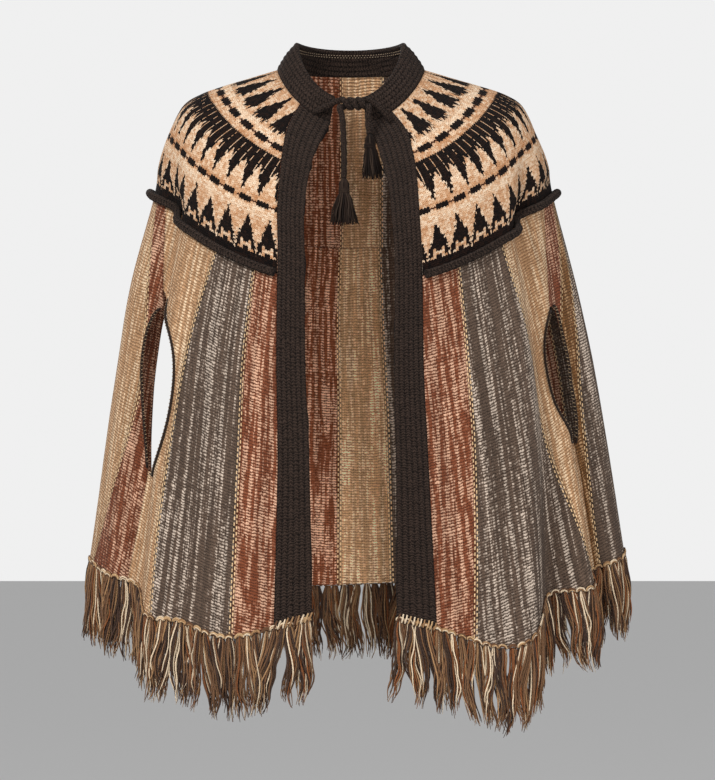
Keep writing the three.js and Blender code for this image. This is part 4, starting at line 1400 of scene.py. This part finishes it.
# %% One lock of yarns
def lock(root, way, outward, flow, rng):
    down = unit(np.array([0, 0, -1.0]) + flow * FRINGE_FLARE)
    lean = way * rng.normal(0, 0.1) + outward * rng.normal(0, 0.03)
    sway, waves, phase = rng.uniform(*LOCK_SWAY), rng.uniform(*LOCK_WAVES), rng.uniform(0, TURN)
    twist = rng.uniform(*LOCK_TWIST)
    start = root + flow * FRINGE_GAP - outward * WALL / 2
    yarns = []
    for k in range(YARNS_PER_LOCK):
        t = np.linspace(0, 1, YARN_POINTS)[:, None] * rng.uniform(*YARN_SHARE)
        bend = (np.sin(TURN * waves * t + phase) - math.sin(phase)) * sway * t**0.8
        back = np.sin(TURN * waves * t + phase + 1.7) * sway * 0.45 * t
        angle = TURN * GOLDEN_TURN * k + twist * t
        reach = math.sqrt((k + 0.5) / YARNS_PER_LOCK) * np.interp(t, LOCK_PLACES, LOCK_WIDTHS)
        own = np.sin(TURN * (rng.uniform(*YARN_WAVES) * t + rng.uniform(0, 1))) * rng.uniform(*YARN_SWAY)
        own = own * t**0.7
        path = start + (down + lean) * FRINGE_LENGTH * t
        path = path + way * (bend + own + 1.3 * reach * np.cos(angle))
        yarns.append(path + outward * (back + own * 0.6 + 0.8 * reach * np.sin(angle)))
    return yarns


# %% Loops and stitches on the hem
def loops(root, way, outward, flow):
    """The loop of each lock, as three yarns side by side that arch over the hem."""
    bend = np.linspace(-1, 1, YARN_POINTS)[:, None]
    arch = np.sqrt(np.clip(1 - bend**2, 0, 1))
    for lane in range(LOOP_YARNS):
        rise = flow * (1.8 - (2.6 + lane) * arch)
        across = way * bend * (LOOP_REACH + 0.6 * lane)
        yield root + across + outward * (LOOP_PROUD - 0.9 * bend**2) + rise


def band_stitches(side, rng):
    """Thick stitches that slant over the lower end of a front band."""
    share = np.linspace(-1, 1, YARN_POINTS)[:, None]
    for root, way, outward, flow in zip(*hem_line(band_edges(side), BAND_STITCH_PITCH, rng)):
        tall, wide = rng.uniform(4.2, 5.4), rng.uniform(1.2, 2.4)
        slant = way * share * wide + flow * (share * tall - 2.0)
        yield root + slant + outward * (BAND_STITCH_PROUD - 2.2 * share**2)


# %% The fringe's pieces
fringe_finish = yarn_finish("fringe_yarn", 4.5, 0.3)


def fringe(name, edges, seed):
    rng = np.random.default_rng(seed)
    places = list(zip(*hem_line(edges, FRINGE_PITCH, rng)))
    paths = [yarn for place in places for yarn in lock(*place, rng)]
    kinds = rng.choice(len(FRINGE_YARNS), len(paths), p=[share for _, share, _ in FRINGE_YARNS])
    tones = np.array([dye(code) for code, _, _ in FRINGE_YARNS])[kinds]
    tones[:, :3] *= rng.uniform(0.75, 1.2, (len(tones), 1))
    taper = np.interp(np.linspace(0, 1, YARN_POINTS), TAPER_PLACES, TAPER)
    radii = np.array([radius for _, _, radius in FRINGE_YARNS])[kinds][:, None] * taper
    trims = [arc for place in places for arc in loops(*place)]
    if "front" in name:
        trims += band_stitches(name.split("_")[-1], rng)
    trim_tones = np.array([dye(code) for code in rng.choice(LOOP_COLOURS, len(trims))])
    radii = np.concatenate([radii, np.full((len(trims), YARN_POINTS), TRIM_RADIUS)])
    tones = np.concatenate([tones, trim_tones])
    mesh = yarn_mesh(name, np.array(paths + trims), radii, tones, sides=4)
    return wear(link(name, mesh, [fringe_finish]), name)


FRINGES = {
    "fringe_front_right": (band_edge("right", 1), EDGES["front_right"][1]),
    "fringe_side_right": EDGES["side_right"],
    "fringe_back": EDGES["back"],
    "fringe_side_left": EDGES["side_left"],
    "fringe_front_left": (EDGES["front_left"][0], band_edge("left", 1)),
}
fringes = {name: fringe(name, edges, 10 + k) for k, (name, edges) in enumerate(FRINGES.items())}
print("fringe faces:", sum(len(piece.data.polygons) for piece in fringes.values()))

# %% [markdown]
# ## The points of each piece of cloth
#
# Knitting is made to its size, but here each sheet's points are only read out of its mesh, and no flat
# size is measured from them. The fringe and the binding of each panel are listed with it.

# %% Reading the sheets' points
def declare_cloth(piece, columns, rows):
    flat = np.zeros(len(piece.data.vertices) * 3)
    piece.data.vertices.foreach_get("co", flat)


for name, piece in panels.items():
    sewn_on = [fringes["fringe_" + name], bindings[name]]
    declare_cloth(piece, PANEL_COLUMNS[name], PANEL_ROWS)
for piece in bands.values():
    declare_cloth(piece, BAND_COLUMNS, BAND_ROWS)
declare_cloth(yoke, YOKE_COLUMNS, YOKE_ROWS)

# %% [markdown]
# ## Light, floor and background
#
# The garment is lit like a catalogue picture: one large soft light from the upper left, weaker ones from
# the right, the front and the back, and a pale, even surround that fills the shadows.

# %% Lights
def area_light(name, place, turned, size, power):
    light = bpy.data.lights.new(name, "AREA")
    light.shape = "DISK"
    light.size = size
    light.energy = power
    lamp = bpy.data.objects.new(name, light)
    lamp.location = place
    lamp.rotation_euler = [math.radians(angle) for angle in turned]
    bpy.context.scene.collection.objects.link(lamp)


area_light("key", (-1.6, -2.5, 1.5), (58, 0, -33), 1.3, 92)
area_light("fill", (2.2, -2.0, 0.1), (84, 0, 48), 1.8, 25)
area_light("front", (0.3, -3.4, 0.2), (82, 0, 5), 1.0, 26)
area_light("back", (-1.0, 2.8, 0.9), (-65, 0, 20), 1.6, 45)
print("lights: 4")

# %% [markdown]
# The surround has two strengths: the camera sees it pale, while the garment gets less of its light. So
# the folds keep their shadows in front of a nearly white background.

# %% The surround
SEEN_GREY, FELT_GREY = 0.87, 0.5
world = bpy.data.worlds.new("surround")
world.use_nodes = True
tree = world.node_tree
seen = tree.nodes["Background"]
seen.inputs[0].default_value = (SEEN_GREY, SEEN_GREY, SEEN_GREY, 1)
felt = tree.nodes.new("ShaderNodeBackground")
felt.inputs[0].default_value = (FELT_GREY, FELT_GREY, FELT_GREY, 1)
rays = tree.nodes.new("ShaderNodeLightPath")
both = tree.nodes.new("ShaderNodeMixShader")
tree.links.new(rays.outputs["Is Camera Ray"], both.inputs[0])
tree.links.new(felt.outputs[0], both.inputs[1])
tree.links.new(seen.outputs[0], both.inputs[2])
tree.links.new(both.outputs[0], tree.nodes["World Output"].inputs[0])
bpy.context.scene.world = world
bpy.context.scene.view_settings.view_transform = "Standard"
print("surround:", SEEN_GREY, "seen and", FELT_GREY, "felt")

# %% The floor
FLOOR_REACH, FLOOR_HEIGHT, FLOOR_GREY = 14, -1.75, 0.74
bm = bmesh.new()
bmesh.ops.create_grid(bm, x_segments=1, y_segments=1, size=FLOOR_REACH)
floor_mesh = bpy.data.meshes.new("floor")
bm.to_mesh(floor_mesh)
bm.free()
floor_mesh.transform(Matrix.Translation((0, 0, FLOOR_HEIGHT)))
floor_finish = Finish("floor")
floor_colour = (FLOOR_GREY, FLOOR_GREY, FLOOR_GREY, 1)
shader = floor_finish.node("BsdfPrincipled", {}, {"Base Color": floor_colour, "Roughness": 0.9})
floor_finish.node("OutputMaterial", {}, {"Surface": shader.outputs[0]})
floor = link("floor", floor_mesh, [floor_finish.material])
floor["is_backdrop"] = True
print("floor placed at", FLOOR_HEIGHT, "m")

# %% Sizes, and the end
dressed_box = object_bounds()
boxes = {"cad": cad_box, "dressed": dressed_box}
{name: [list(corner) for corner in box] for name, box in boxes.items()}
print("dressed:", [round(high - low, 3) for low, high in zip(*dressed_box)])
